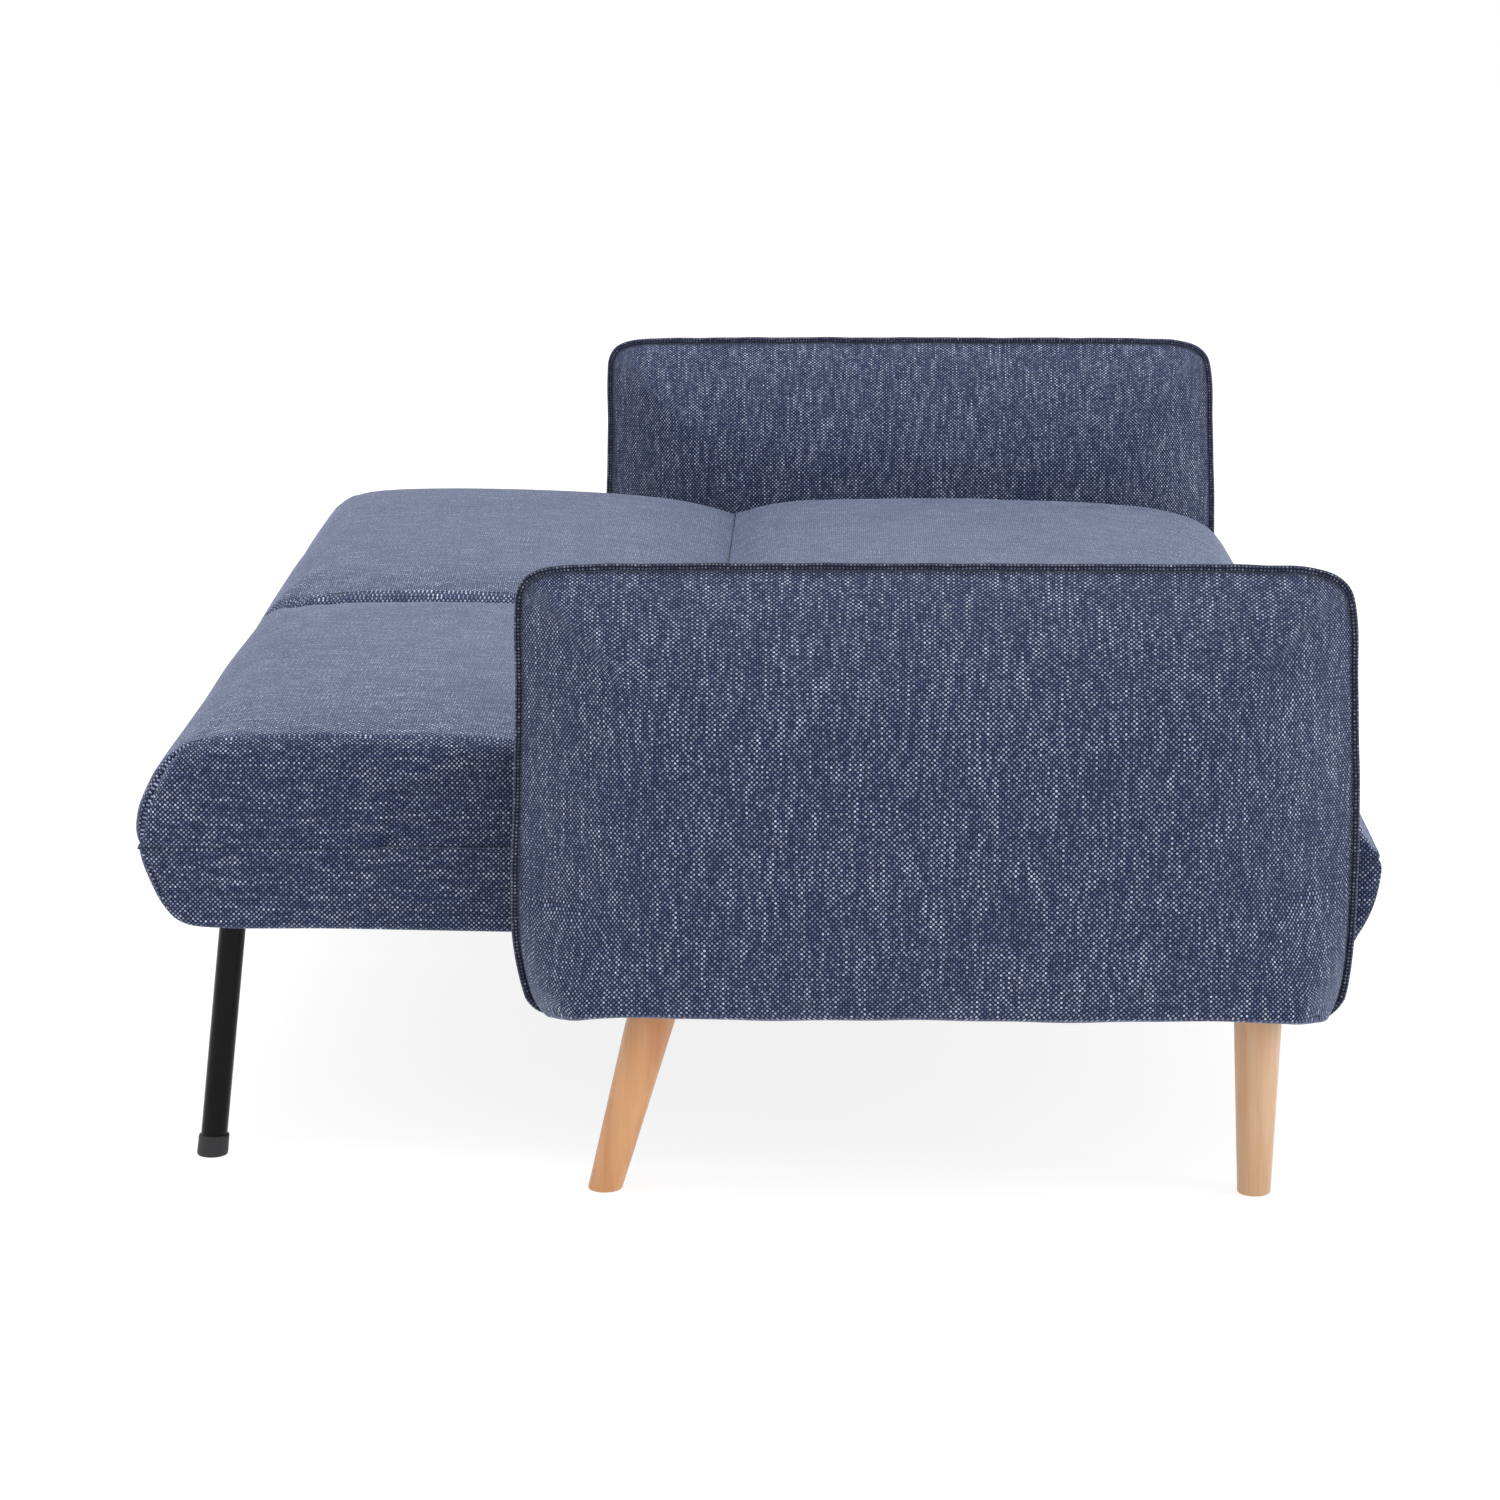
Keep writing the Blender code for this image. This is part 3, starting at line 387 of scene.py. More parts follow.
def spread(count, pull):
    """Values from -1 to 1, closer together at both ends: a straight line mixed with a sine."""
    t = np.linspace(-1, 1, count + 1)
    return (1 - pull) * t + pull * np.sin(t * math.pi / 2)


def walk(curve, first, last, shares):
    """Rows at shares (0 to 1) of the way along a closed curve, from one dense number to another."""
    span = np.arange(first, last + 1 if last > first else last + len(curve) + 1) % len(curve)
    run = curve[span]
    gone = np.concatenate([[0], np.cumsum(np.linalg.norm(np.diff(run[:, :2], axis=0), axis=1))])
    at = shares * gone[-1]
    return np.stack([np.interp(at, gone, column) for column in run.T], axis=1)


def patch(curve, corners, counts, pull):
    """A grid inside a closed curve: a Coons patch, which is the sum of the two straight blends
    between opposite sides, less the blend of the four corners. Sides run bottom, rear, top, front."""
    wide, tall = counts
    across, up = (spread(wide, pull) + 1) / 2, (spread(tall, pull) + 1) / 2
    a, b, c, d = corners
    bottom, rear = walk(curve, a, b, across), walk(curve, b, c, up)
    top, front = walk(curve, c, d, across)[::-1], walk(curve, d, a, up)[::-1]
    u, v = across[:, None, None], up[None, :, None]
    grid = (1 - v) * bottom[:, None] + v * top[:, None] + (1 - u) * front[None] + u * rear[None]
    grid -= (1 - u) * (1 - v) * bottom[0] + u * (1 - v) * bottom[-1] + u * v * top[-1] + (1 - u) * v * top[0]
    return grid


def depth_of(points, curve, reach, chosen):
    """Each point's least distance from the chosen short sides of a curve, as a share of each side's
    reach, with the way from the point out to the curve there and the number of that side."""
    numbers = np.flatnonzero(chosen)
    start = curve[numbers]
    step = np.roll(curve, -1, axis=0)[numbers] - start
    square = np.maximum((step**2).sum(1), 1e-18)
    depth, way, side = np.empty(len(points)), np.empty((len(points), 2)), np.empty(len(points), int)
    for low in range(0, len(points), 1500):
        part = points[low : low + 1500, None]
        share = np.clip(((part - start) * step).sum(2) / square, 0, 1)
        toward = start + share[..., None] * step - part
        gap = np.linalg.norm(toward, axis=2)
        best = (gap / reach[numbers]).argmin(1)
        row = np.arange(len(part))
        depth[low : low + 1500] = (gap / reach[numbers])[row, best]
        way[low : low + 1500] = toward[row, best] / np.maximum(gap[row, best], 1e-9)[:, None]
        side[low : low + 1500] = numbers[best]
    return depth, way, side


def quarter(depth, reach, power):
    """A quarter of a superellipse: 0 at the rim, 1 at the reach and beyond."""
    t = np.clip(depth / reach, 0, 1)
    return (1 - (1 - t) ** power) ** (1 / power)


def pillowed(depth):
    """The profile of a knife-edged pillow: steepest at the rim, and level from the full reach on."""
    return 1 - (1 - depth) ** 1.9


def grid_faces(wide, tall, start, flip=False, wrap=False):
    """Quads of a grid of points numbered row by row, whose rows may close on themselves."""
    i, j = np.meshgrid(np.arange(wide - 1), np.arange(tall if wrap else tall - 1), indexing="ij")
    nxt = (j + 1) % tall
    quads = np.stack([i * tall + j, (i + 1) * tall + j, (i + 1) * tall + nxt, i * tall + nxt], axis=-1)
    quads = quads.reshape(-1, 4) + start
    return quads[:, ::-1] if flip else quads


def rim_of(wide, tall):
    """Numbers of a patch's rim points, in the order of its sides."""
    index = np.arange((wide + 1) * (tall + 1)).reshape(wide + 1, tall + 1)
    return np.concatenate([index[:-1, 0], index[-1, :-1], index[:0:-1, -1], index[0, :0:-1]])


def mesh_from(name, points, faces, uvs, weld=1e-6):
    """A mesh object whose faces carry their own UV corners, with coincident points made one."""
    mesh = bpy.data.meshes.new(name)
    mesh.from_pydata(points.tolist(), [], faces if isinstance(faces, list) else faces.tolist())
    layer = mesh.uv_layers.new(name=UV_NAME)
    loops = np.empty(len(mesh.loops), np.int32)
    mesh.loops.foreach_get("vertex_index", loops)
    layer.data.foreach_set("uv", uvs[loops].astype(np.float32).ravel())
    shape = bmesh.new()
    shape.from_mesh(mesh)
    bmesh.ops.remove_doubles(shape, verts=shape.verts, dist=weld)
    bmesh.ops.recalc_face_normals(shape, faces=shape.faces)
    shape.to_mesh(mesh)
    shape.free()
    mesh.shade_smooth()
    obj = bpy.data.objects.new(name, mesh)
    bpy.context.scene.collection.objects.link(obj)
    return obj


def outward(curve):
    """Unit normals of a closed plane curve, pointing out of it."""
    way = np.roll(curve, -1, axis=0) - np.roll(curve, 1, axis=0)
    way /= np.linalg.norm(way, axis=1, keepdims=True)
    following = np.roll(curve, -1, axis=0)
    area = (curve[:, 0] * following[:, 1] - following[:, 0] * curve[:, 1]).sum()
    return np.column_stack([way[:, 1], -way[:, 0]]) * np.sign(area)


def stuffed(
    name, outline, corners, sharp, counts, ends, sleeve, pull,
    pillow=False, bulge=0.0, soften=1.0, shape=None,
):
    """A closed form along X. The outline's rows are (y, z, reach, tuck, deep). It is carried between
    stations that lie deep inside each end and drawn in by the tuck there, and each end is closed by a
    patch that comes out from that rim to the end within the reach, as a quarter circle. On a pillow
    only the bottom side does so, and from the other sides the patch rises as a knife edge does. The
    bulge pushes the patch out past its rim by a half sine of how far it stands out, soften makes
    the first end deeper, and shape may move the points."""
    curve, marks = smooth_loop(outline, sharp)
    tucked = curve[:, :2] - outward(curve[:, :2]) * curve[:, 3:4]
    curve = np.column_stack([curve[:, :2], tucked, curve[:, 2], curve[:, 4]])
    wide, tall = counts
    grid = patch(curve, [marks[index] for index in corners], counts, pull)
    flat = grid[..., 2:4].reshape(-1, 2)
    boxed = np.arange(len(curve)) < marks[corners[1]] if pillow else np.ones(len(curve), bool)
    depth, way, side = depth_of(flat, tucked, curve[:, 4], boxed)
    rise = quarter(depth, 1.0, 2.0)
    if pillow:
        depth, way, side = depth_of(flat, tucked, curve[:, 4], ~boxed)
        rise = rise * pillowed(np.clip(depth, 0, 1))
    deep = curve[side, 5]
    rim = rim_of(wide, tall)
    deep[rim] = grid.reshape(-1, 6)[rim, 5]
    ring = grid.reshape(-1, 6)[rim]
    ring = np.concatenate([ring, ring[:1]])
    round_way = np.concatenate([[0], np.cumsum(np.linalg.norm(np.diff(ring[:, :2], axis=0), axis=1))])
    points, faces, uvs = [], [], []
    if sleeve:
        near = np.array([0, 0.0006, 0.0018, 0.0038, 0.0068, 0.0105])
        length = ends[1] - ends[0]
        stations = np.concatenate([
            near, np.linspace(0.0155, length - 0.0155, sleeve + 1), length - near[::-1],
        ])
        open_share = quarter(np.minimum(stations, length - stations), 0.013, 2.0)[:, None, None]
        rings = ring[None, :, 2:4] + (ring[None, :, :2] - ring[None, :, 2:4]) * open_share
        first, last = ends[0] + ring[:, 5] * soften, ends[1] - ring[:, 5]
        x = first + (stations[:, None] / length) * (last - first)
        points.append(np.column_stack([x.ravel(), rings.reshape(-1, 2)]))
        uvs.append(np.column_stack([x.ravel(), np.tile(round_way, len(stations))]))
        faces.append(grid_faces(len(stations), len(ring), 0))
    pushed = flat + way * (bulge * np.sin(math.pi * rise**0.6))[:, None]
    spare = (flat + way * ((1 - rise) * deep * 0.8)[:, None])[:, :: -1 if sleeve else 1]
    for turn, end, more in ((-1, ends[0], soften), (1, ends[1], 1.0)):
        start = sum(map(len, points))
        points.append(np.column_stack([end - turn * deep * more * (1 - rise), pushed]))
        uvs.append(spare)
        faces.append(grid_faces(wide + 1, tall + 1, start, flip=turn > 0))
    points = np.concatenate(points)
    if shape is not None:
        points = shape(points)
    return mesh_from(name, points, np.concatenate(faces), np.concatenate(uvs))


def groove(points, path, width):
    """How near plane points are to a path of plane points: a bell curve of the distance."""
    path = np.asarray(path, float)
    start, step = path[:-1], np.diff(path, axis=0)
    share = np.clip(((points[:, None] - start) * step).sum(2) / (step**2).sum(1), 0, 1)
    gap = np.linalg.norm(points[:, None] - start - share[..., None] * step, axis=2).min(1)
    return np.exp(-((gap / width) ** 2))


def waves(first, second, size):
    """A slow, even unrest between -1 and 1: three sines of both measures at odd angles."""
    return (
        np.sin((first * 1.0 + second * 0.6) * 2 * math.pi / size)
        + np.sin((first * -0.7 + second * 1.3) * 2 * math.pi / size + 1.7)
        + np.sin((first * 1.9 + second * 0.3) * 2 * math.pi / size + 4.1)
    ) / 3


def swell(obj, held, cap, pressure):
    """Blows the closed form up as cloth for 20 frames with its held points pinned, then keeps each
    point's move, limited smoothly to the cap. The cloth is a copy, so nothing live is left."""
    mesh = obj.data
    count = len(mesh.vertices)
    rest = np.empty(count * 3)
    mesh.vertices.foreach_get("co", rest)
    rest = rest.reshape(-1, 3)
    copy = obj.copy()
    copy.data = mesh.copy()
    bpy.context.scene.collection.objects.link(copy)
    group = copy.vertex_groups.new(name="held")
    weights = held(rest)
    for level in (0.25, 0.5, 0.75, 1.0):
        chosen = np.flatnonzero((weights > level - 0.25) & (weights <= level))
        group.add(chosen.tolist(), level, "REPLACE")
    cloth = copy.modifiers.new("stuffing", "CLOTH")
    settings = cloth.settings
    settings.quality = 5
    settings.mass = 0.3
    settings.tension_stiffness = 12
    settings.compression_stiffness = 12
    settings.shear_stiffness = 4
    settings.bending_stiffness = 0.4
    settings.use_pressure = True
    settings.uniform_pressure_force = pressure
    settings.vertex_group_mass = "held"
    settings.effector_weights.gravity = 0
    cloth.collision_settings.use_collision = False
    cloth.point_cache.frame_start = 1
    cloth.point_cache.frame_end = SWELL_FRAMES
    scene = bpy.context.scene
    for number in range(1, SWELL_FRAMES + 1):
        scene.frame_set(number)
    graph = bpy.context.evaluated_depsgraph_get()
    blown = np.empty(count * 3)
    copy.evaluated_get(graph).data.vertices.foreach_get("co", blown)
    move = blown.reshape(-1, 3) - rest
    size = np.linalg.norm(move, axis=1, keepdims=True)
    limited = move * np.tanh(size / cap) * cap / np.maximum(size, 1e-9)
    mesh.vertices.foreach_set("co", (rest + limited).ravel())
    mesh.update()
    bpy.data.objects.remove(copy, do_unlink=True)
    scene.frame_set(1)


def settle(obj):
    """Makes the piece's modifiers part of its mesh."""
    graph = bpy.context.evaluated_depsgraph_get()
    made = bpy.data.meshes.new_from_object(obj.evaluated_get(graph))
    obj.modifiers.clear()
    made.name = obj.name
    obj.data = made


def refine(obj, levels=1):
    """Subdivides the piece for good."""
    modifier = obj.modifiers.new("fine", "SUBSURF")
    modifier.levels = modifier.render_levels = levels
    modifier.uv_smooth = "PRESERVE_BOUNDARIES"
    settle(obj)
    obj.data.shade_smooth()


def cover(obj, body, material, slot, *nodes):
    """Gives a piece its finish and its body, and hides the CAD nodes that it stands for."""
    obj.data.materials.clear()
    obj.data.materials.append(finishes(bpy.context.scene.futon_sizes)[material])
    if body is not None:
        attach(obj, body)
    if nodes:
        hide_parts(*nodes)
    return obj


def mirrored(obj, name):
    """A copy on the other side of the middle, with its faces turned to point outwards."""
    copy = obj.copy()
    copy.name = name
    copy.data = obj.data.copy()
    copy.data.name = name
    bpy.context.scene.collection.objects.link(copy)
    count = len(copy.data.vertices)
    points = np.empty(count * 3)
    copy.data.vertices.foreach_get("co", points)
    points = points.reshape(-1, 3) * (-1, 1, 1)
    copy.data.vertices.foreach_set("co", points.ravel())
    copy.data.flip_normals()
    copy.data.update()
    return copy


def tube(name, path, radius, sides, closed=False):
    """A round cord along a path of points: circles square to the path's direction."""
    path = np.asarray(path, float)
    ways = np.gradient(path, axis=0)
    ways /= np.linalg.norm(ways, axis=1, keepdims=True)
    side = np.cross(ways, (1.0, 0.0, 0.0))
    side /= np.linalg.norm(side, axis=1, keepdims=True)
    other = np.cross(ways, side)
    angle = np.linspace(0, 2 * math.pi, sides + 1)
    circle = np.cos(angle)[None, :, None] * side[:, None] + np.sin(angle)[None, :, None] * other[:, None]
    points = path[:, None] + radius * circle
    gone = np.concatenate([[0], np.cumsum(np.linalg.norm(np.diff(path, axis=0), axis=1))])
    girth = radius * angle
    u = (gone[:, None] + girth[None]) * math.sqrt(0.5)
    v = (gone[:, None] - girth[None]) * math.sqrt(0.5)
    uvs = np.stack([u, v], axis=2).reshape(-1, 2)
    faces = grid_faces(len(path), sides + 1, 0)
    flat = points.reshape(-1, 3)
    caps = np.array([path[0], path[-1]])
    last = len(path) - 1
    start = np.column_stack([np.full(sides, len(flat)), np.arange(sides), np.arange(sides) + 1])
    end = np.column_stack(
        [
            np.full(sides, len(flat) + 1), last * (sides + 1) + np.arange(sides) + 1,
            last * (sides + 1) + np.arange(sides),
        ]
    )
    mesh_points = np.concatenate([flat, caps])
    uvs = np.concatenate([uvs, uvs[[0, -1]]])
    obj = mesh_from(name, mesh_points, faces.tolist() + start.tolist() + end.tolist(), uvs)
    return obj


def turned(name, heights, radii, centre_of, sides, stretch=1.0):
    """Level rings stacked up a leaning axis: radius and centre are functions of height, and the
    rings are stretched along Y where a leaning round bar is cut level. Both ends are closed."""
    heights, radii = np.asarray(heights, float), np.asarray(radii, float)
    angle = np.linspace(0, 2 * math.pi, sides, endpoint=False)
    x, y = centre_of(heights)
    points = np.stack(
        [
            x[:, None] + radii[:, None] * np.cos(angle),
            y[:, None] + stretch * radii[:, None] * np.sin(angle),
            np.repeat(heights[:, None], sides, axis=1),
        ],
        axis=2,
    ).reshape(-1, 3)
    caps = np.array([[x[0], y[0], heights[0]], [x[-1], y[-1], heights[-1]]])
    faces = grid_faces(len(heights), sides, 0, wrap=True).tolist()
    first, second = len(points), len(points) + 1
    last = (len(heights) - 1) * sides
    step = np.arange(sides)
    faces += np.column_stack([np.full(sides, first), (step + 1) % sides, step]).tolist()
    faces += np.column_stack([np.full(sides, second), last + step, last + (step + 1) % sides]).tolist()
    everything = np.concatenate([points, caps])
    return mesh_from(name, everything, faces, everything[:, [0, 2]])


# ---------------------------------------------------------------- pieces


def pair_of(right, rename):
    """The right-hand piece and its mirror image, by side."""
    return {"right": right, "left": mirrored(right, rename)}


ARM_BOTTOM = ARM_LOW.z - 0.0030
ARM_ROWS = np.array([
    (-0.5290, ARM_BOTTOM - 0.0050), (-0.5080, ARM_BOTTOM - 0.0030), (-0.4850, ARM_BOTTOM - 0.0010),
    (-0.4000, ARM_BOTTOM), (-0.2500, ARM_BOTTOM - 0.0008), (-0.1500, ARM_BOTTOM + 0.0004),
    (-0.0500, ARM_BOTTOM - 0.0004), (0.0800, ARM_BOTTOM + 0.0004), (0.1450, ARM_BOTTOM - 0.0006),
    (0.1740, ARM_BOTTOM - 0.0030), (0.1910, ARM_BOTTOM - 0.0048),
    (0.2010, ARM_BOTTOM + 0.0060), (0.2080, ARM_BOTTOM + 0.0240), (0.2150, ARM_BOTTOM + 0.0600),
    (0.2165, ARM_BOTTOM + 0.1100), (0.2135, 0.3760), (0.2110, 0.4660), (0.2108, 0.5480),
    (0.2092, 0.5640), (0.2035, 0.5745), (0.1930, 0.5805), (0.1760, 0.5838),
    (0.0900, 0.5862), (-0.1000, 0.5872), (-0.3000, 0.5872), (-0.4600, 0.5865), (-0.5040, 0.5842),
    (-0.5245, 0.5780), (-0.5350, 0.5680), (-0.5394, 0.5520),
    (-0.5430, 0.4800), (-0.5465, 0.4000), (-0.5475, 0.3000),
    (-0.5462, 0.2500), (-0.5430, 0.2120), (-0.5375, 0.1860),
])
ARM_CORNERS = (0, 10, 19, 28)
ARM_SHARP = (0, 10)


def build_arms(sizes):
    """The arms: stuffed covers of two crowned panels that meet at a piped rim half way through. Round
    the rim each panel bulges out past the seam, and its middle is flatter and slightly uneven."""
    middle = (ARM_LOW.x + ARM_HIGH.x) / 2
    half = (ARM_HIGH.x - ARM_LOW.x) / 2 - 0.003
    reach = np.full(len(ARM_ROWS), 0.135)
    reach[:11] = 0.013
    reach[[11, 12, -1, -2]] = 0.05
    reach[[13, -3]] = 0.09
    rows = np.column_stack([ARM_ROWS, reach, np.zeros(len(ARM_ROWS)), np.full(len(ARM_ROWS), half)])

    def uneven(points):
        stood = np.clip(np.abs(points[:, 0] - middle) / half, 0, 1) ** 2
        points[:, 0] += (
            np.sign(points[:, 0] - middle) * stood * 0.0011 * waves(points[:, 1], points[:, 2], 0.31)
        )
        points[:, 2] += 0.0012 * stood * (1 - stood) * 4 * waves(points[:, 1], points[:, 2], 0.17)
        return points

    arm = stuffed(
        "arm_right_cover", rows, ARM_CORNERS, ARM_SHARP, (100, 58),
        (middle - half, middle + half), 0, 0.7, pillow=True, bulge=0.0012, shape=uneven,
    )

    def held(points):
        rim = np.clip(1 - (np.abs(points[:, 0] - middle) - 0.004) / 0.012, 0, 1)
        base = np.clip(1 - (points[:, 2] - ARM_LOW.z - 0.004) / 0.012, 0, 1)
        return np.maximum(rim, 0.9 * base)

    swell(arm, held, sizes.swell, 3.0)
    refine(arm)
    curve, marks = smooth_loop(rows, ARM_SHARP)
    path = walk(curve, marks[10], marks[0], np.linspace(0.0, 1.0, PIPING_POINTS))[:, :2]
    ways = np.gradient(path, axis=0)
    ways /= np.linalg.norm(ways, axis=1, keepdims=True)
    square = np.column_stack([ways[:, 1], -ways[:, 0]])
    number = np.arange(PIPING_POINTS)
    shown = np.clip(np.minimum(number, number[::-1])[:, None] / 7, 0, 1) ** 0.5
    lift = sizes.piping_radius * (0.75 + 0.12 * waves(path[:, :1], path[:, 1:], 0.09))
    path = path + square * (lift * shown - 0.008 * (1 - shown))
    line = np.column_stack([middle + 0.0008 * waves(path[:, 0], path[:, 1], 0.13), path])
    piping = tube("arm_right_piping", line, sizes.piping_radius, 12)
    pipings = pair_of(piping, "arm_left_piping")
    for side_name, piece in pair_of(arm, "arm_left_cover").items():
        cover(piece, "base", "navy_weave_cloth", "navy_weave", f"arm_{side_name}_pad")
        # The piping takes the darkened copy of the cloth: painted shade
        cover(pipings[side_name], "base", "navy_piping", "navy_weave")


SEAT_SEAM = SEAT_LOW.z - 0.0020
SEAT_ROWS = np.array([
    (-0.5825, SEAT_SEAM, 0.004, 0.0008, 0.004),
    (-0.40, SEAT_SEAM, 0.004, 0, 0.004), (-0.10, SEAT_SEAM, 0.004, 0, 0.004),
    (PIVOT[1] - 0.0002, SEAT_SEAM, 0.004, 0, 0.004),
    (PIVOT[1] - 0.0002, 0.33, 0.004, 0, 0.004), (PIVOT[1] - 0.0002, 0.362, 0.004, 0, 0.004),
    (PIVOT[1] - 0.0003, 0.3770, 0.004, 0, 0.004),
    (PIVOT[1] - 0.0016, 0.3822, 0.010, 0, 0.010),
    (0.040, 0.3850, 0.016, 0, 0.014), (0.022, 0.3895, 0.018, 0, 0.014),
    (-0.004, 0.3945, 0.018, 0, 0.014), (-0.045, 0.3985, 0.018, 0, 0.014),
    (-0.110, 0.4005, 0.018, 0, 0.014), (-0.228, 0.4015, 0.018, 0, 0.014),
    (-0.360, 0.4000, 0.018, 0, 0.014), (-0.440, 0.3965, 0.018, 0, 0.014), (-0.492, 0.3895, 0.018, 0, 0.014),
    (-0.5230, 0.3805, 0.018, 0.001, 0.014), (-0.5430, 0.3690, 0.012, 0.001, 0.012),
    (-0.5570, 0.3540, 0.008, 0.0015, 0.010),
    (-0.5690, 0.3350, 0.006, 0.0015, 0.008), (-0.5790, 0.3180, 0.005, 0.0012, 0.006),
    (-0.5836, 0.3080, 0.004, 0.0008, 0.004),
])
SEAT_CORNERS = (0, 3, 7, 18)
SEAT_SHARP = (0, 3, 7)


def hinge_rooms(edge, side):
    """The boxes of room that one half's two hinges need in a pad's edge."""
    rooms = []
    for place in ("outer", "inner"):
        boxes = [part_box(f"hinge_right_{place}_{part}") for part in ("seat_plate", "back_plate", "pin")]
        low = min(box[0].x for box in boxes) - 0.002
        high = max(box[1].x for box in boxes) + 0.002
        xs = sorted((side * low, side * high))
        rooms.append(((xs[0], edge - 0.052, SEAT_LOW.z - 0.05), (xs[1], edge + 0.052, PIVOT[2] + 0.0125)))
    return rooms


def build_seat(sizes):
    """The seat pad: waterfall nose in front, crowned top, rolled down to the groove at the back."""

    def shape(points):
        x, y, z = points.T
        top = np.clip((z - 0.345) / 0.04, 0, 1)
        groove_share = np.clip((0.0535 - y) / 0.03, 0, 1)
        crown = 0.004 * (1 - np.abs(x / SEAT_HIGH.x) ** 4) * groove_share
        points[:, 2] += top * (crown + 0.0012 * waves(x, y, 0.42) * groove_share)
        return points

    seat = stuffed(
        "seat_cushion", SEAT_ROWS, SEAT_CORNERS, SEAT_SHARP, (66, 14),
        (SEAT_LOW.x + 0.001, SEAT_HIGH.x - 0.001), 150, 0.5, shape=shape,
    )

    def held(points):
        base = np.clip(1 - (points[:, 2] - SEAT_LOW.z - 0.002) / 0.006, 0, 1)
        rear = np.clip((points[:, 1] - 0.036) / 0.010, 0, 1)
        return np.maximum(base, rear)

    swell(seat, held, sizes.swell, 3.0)
    refine(seat)
    for side in SIDES.values():
        for low, high in hinge_rooms(SEAT_HIGH.y, side):
            cut(seat, low, high)
    cover(seat, "base", "navy_weave_cloth", "navy_weave", "seat_pad")


BACK_SEAM = BACK_LOW.z - 0.0032
BACK_ROWS = np.array([
    (PIVOT[1] + 0.0002, BACK_SEAM, 0.002, 0, 0.001), (0.20, BACK_SEAM, 0.002, 0, 0.001),
    (0.35, BACK_SEAM, 0.005, 0, 0.0026), (0.48, BACK_SEAM, 0.005, 0.0005, 0.003),
    (0.5770, BACK_SEAM, 0.004, 0.002, 0.003),
    (0.5822, 0.3140, 0.005, 0.0085, 0.0045), (0.5830, 0.3260, 0.006, 0.0110, 0.005),
    (0.5795, 0.3440, 0.006, 0.0110, 0.005), (0.5720, 0.3610, 0.007, 0.0100, 0.006),
    (0.5635, 0.3775, 0.008, 0.0095, 0.008), (0.5525, 0.3920, 0.012, 0.0085, 0.010),
    (0.5375, 0.4030, 0.016, 0.0050, 0.012), (0.5120, 0.4095, 0.020, 0.0015, 0.014),
    (0.4700, 0.4125, 0.022, 0, 0.015), (0.3500, 0.4135, 0.022, 0, 0.015), (0.2110, 0.4085, 0.022, 0, 0.015),
    (0.1500, 0.4030, 0.022, 0, 0.015), (0.1100, 0.3970, 0.020, 0, 0.014), (0.0820, 0.3905, 0.018, 0, 0.012),
    (0.0660, 0.3855, 0.014, 0, 0.010),
    (PIVOT[1] + 0.0016, 0.3820, 0.008, 0, 0.006), (PIVOT[1] + 0.0003, 0.3770, 0.004, 0, 0.003),
    (PIVOT[1] + 0.0002, 0.362, 0.003, 0, 0.002), (PIVOT[1] + 0.0002, 0.33, 0.003, 0, 0.002),
])
BACK_CORNERS = (0, 4, 10, 20)
BACK_SHARP = (0, 4, 20)


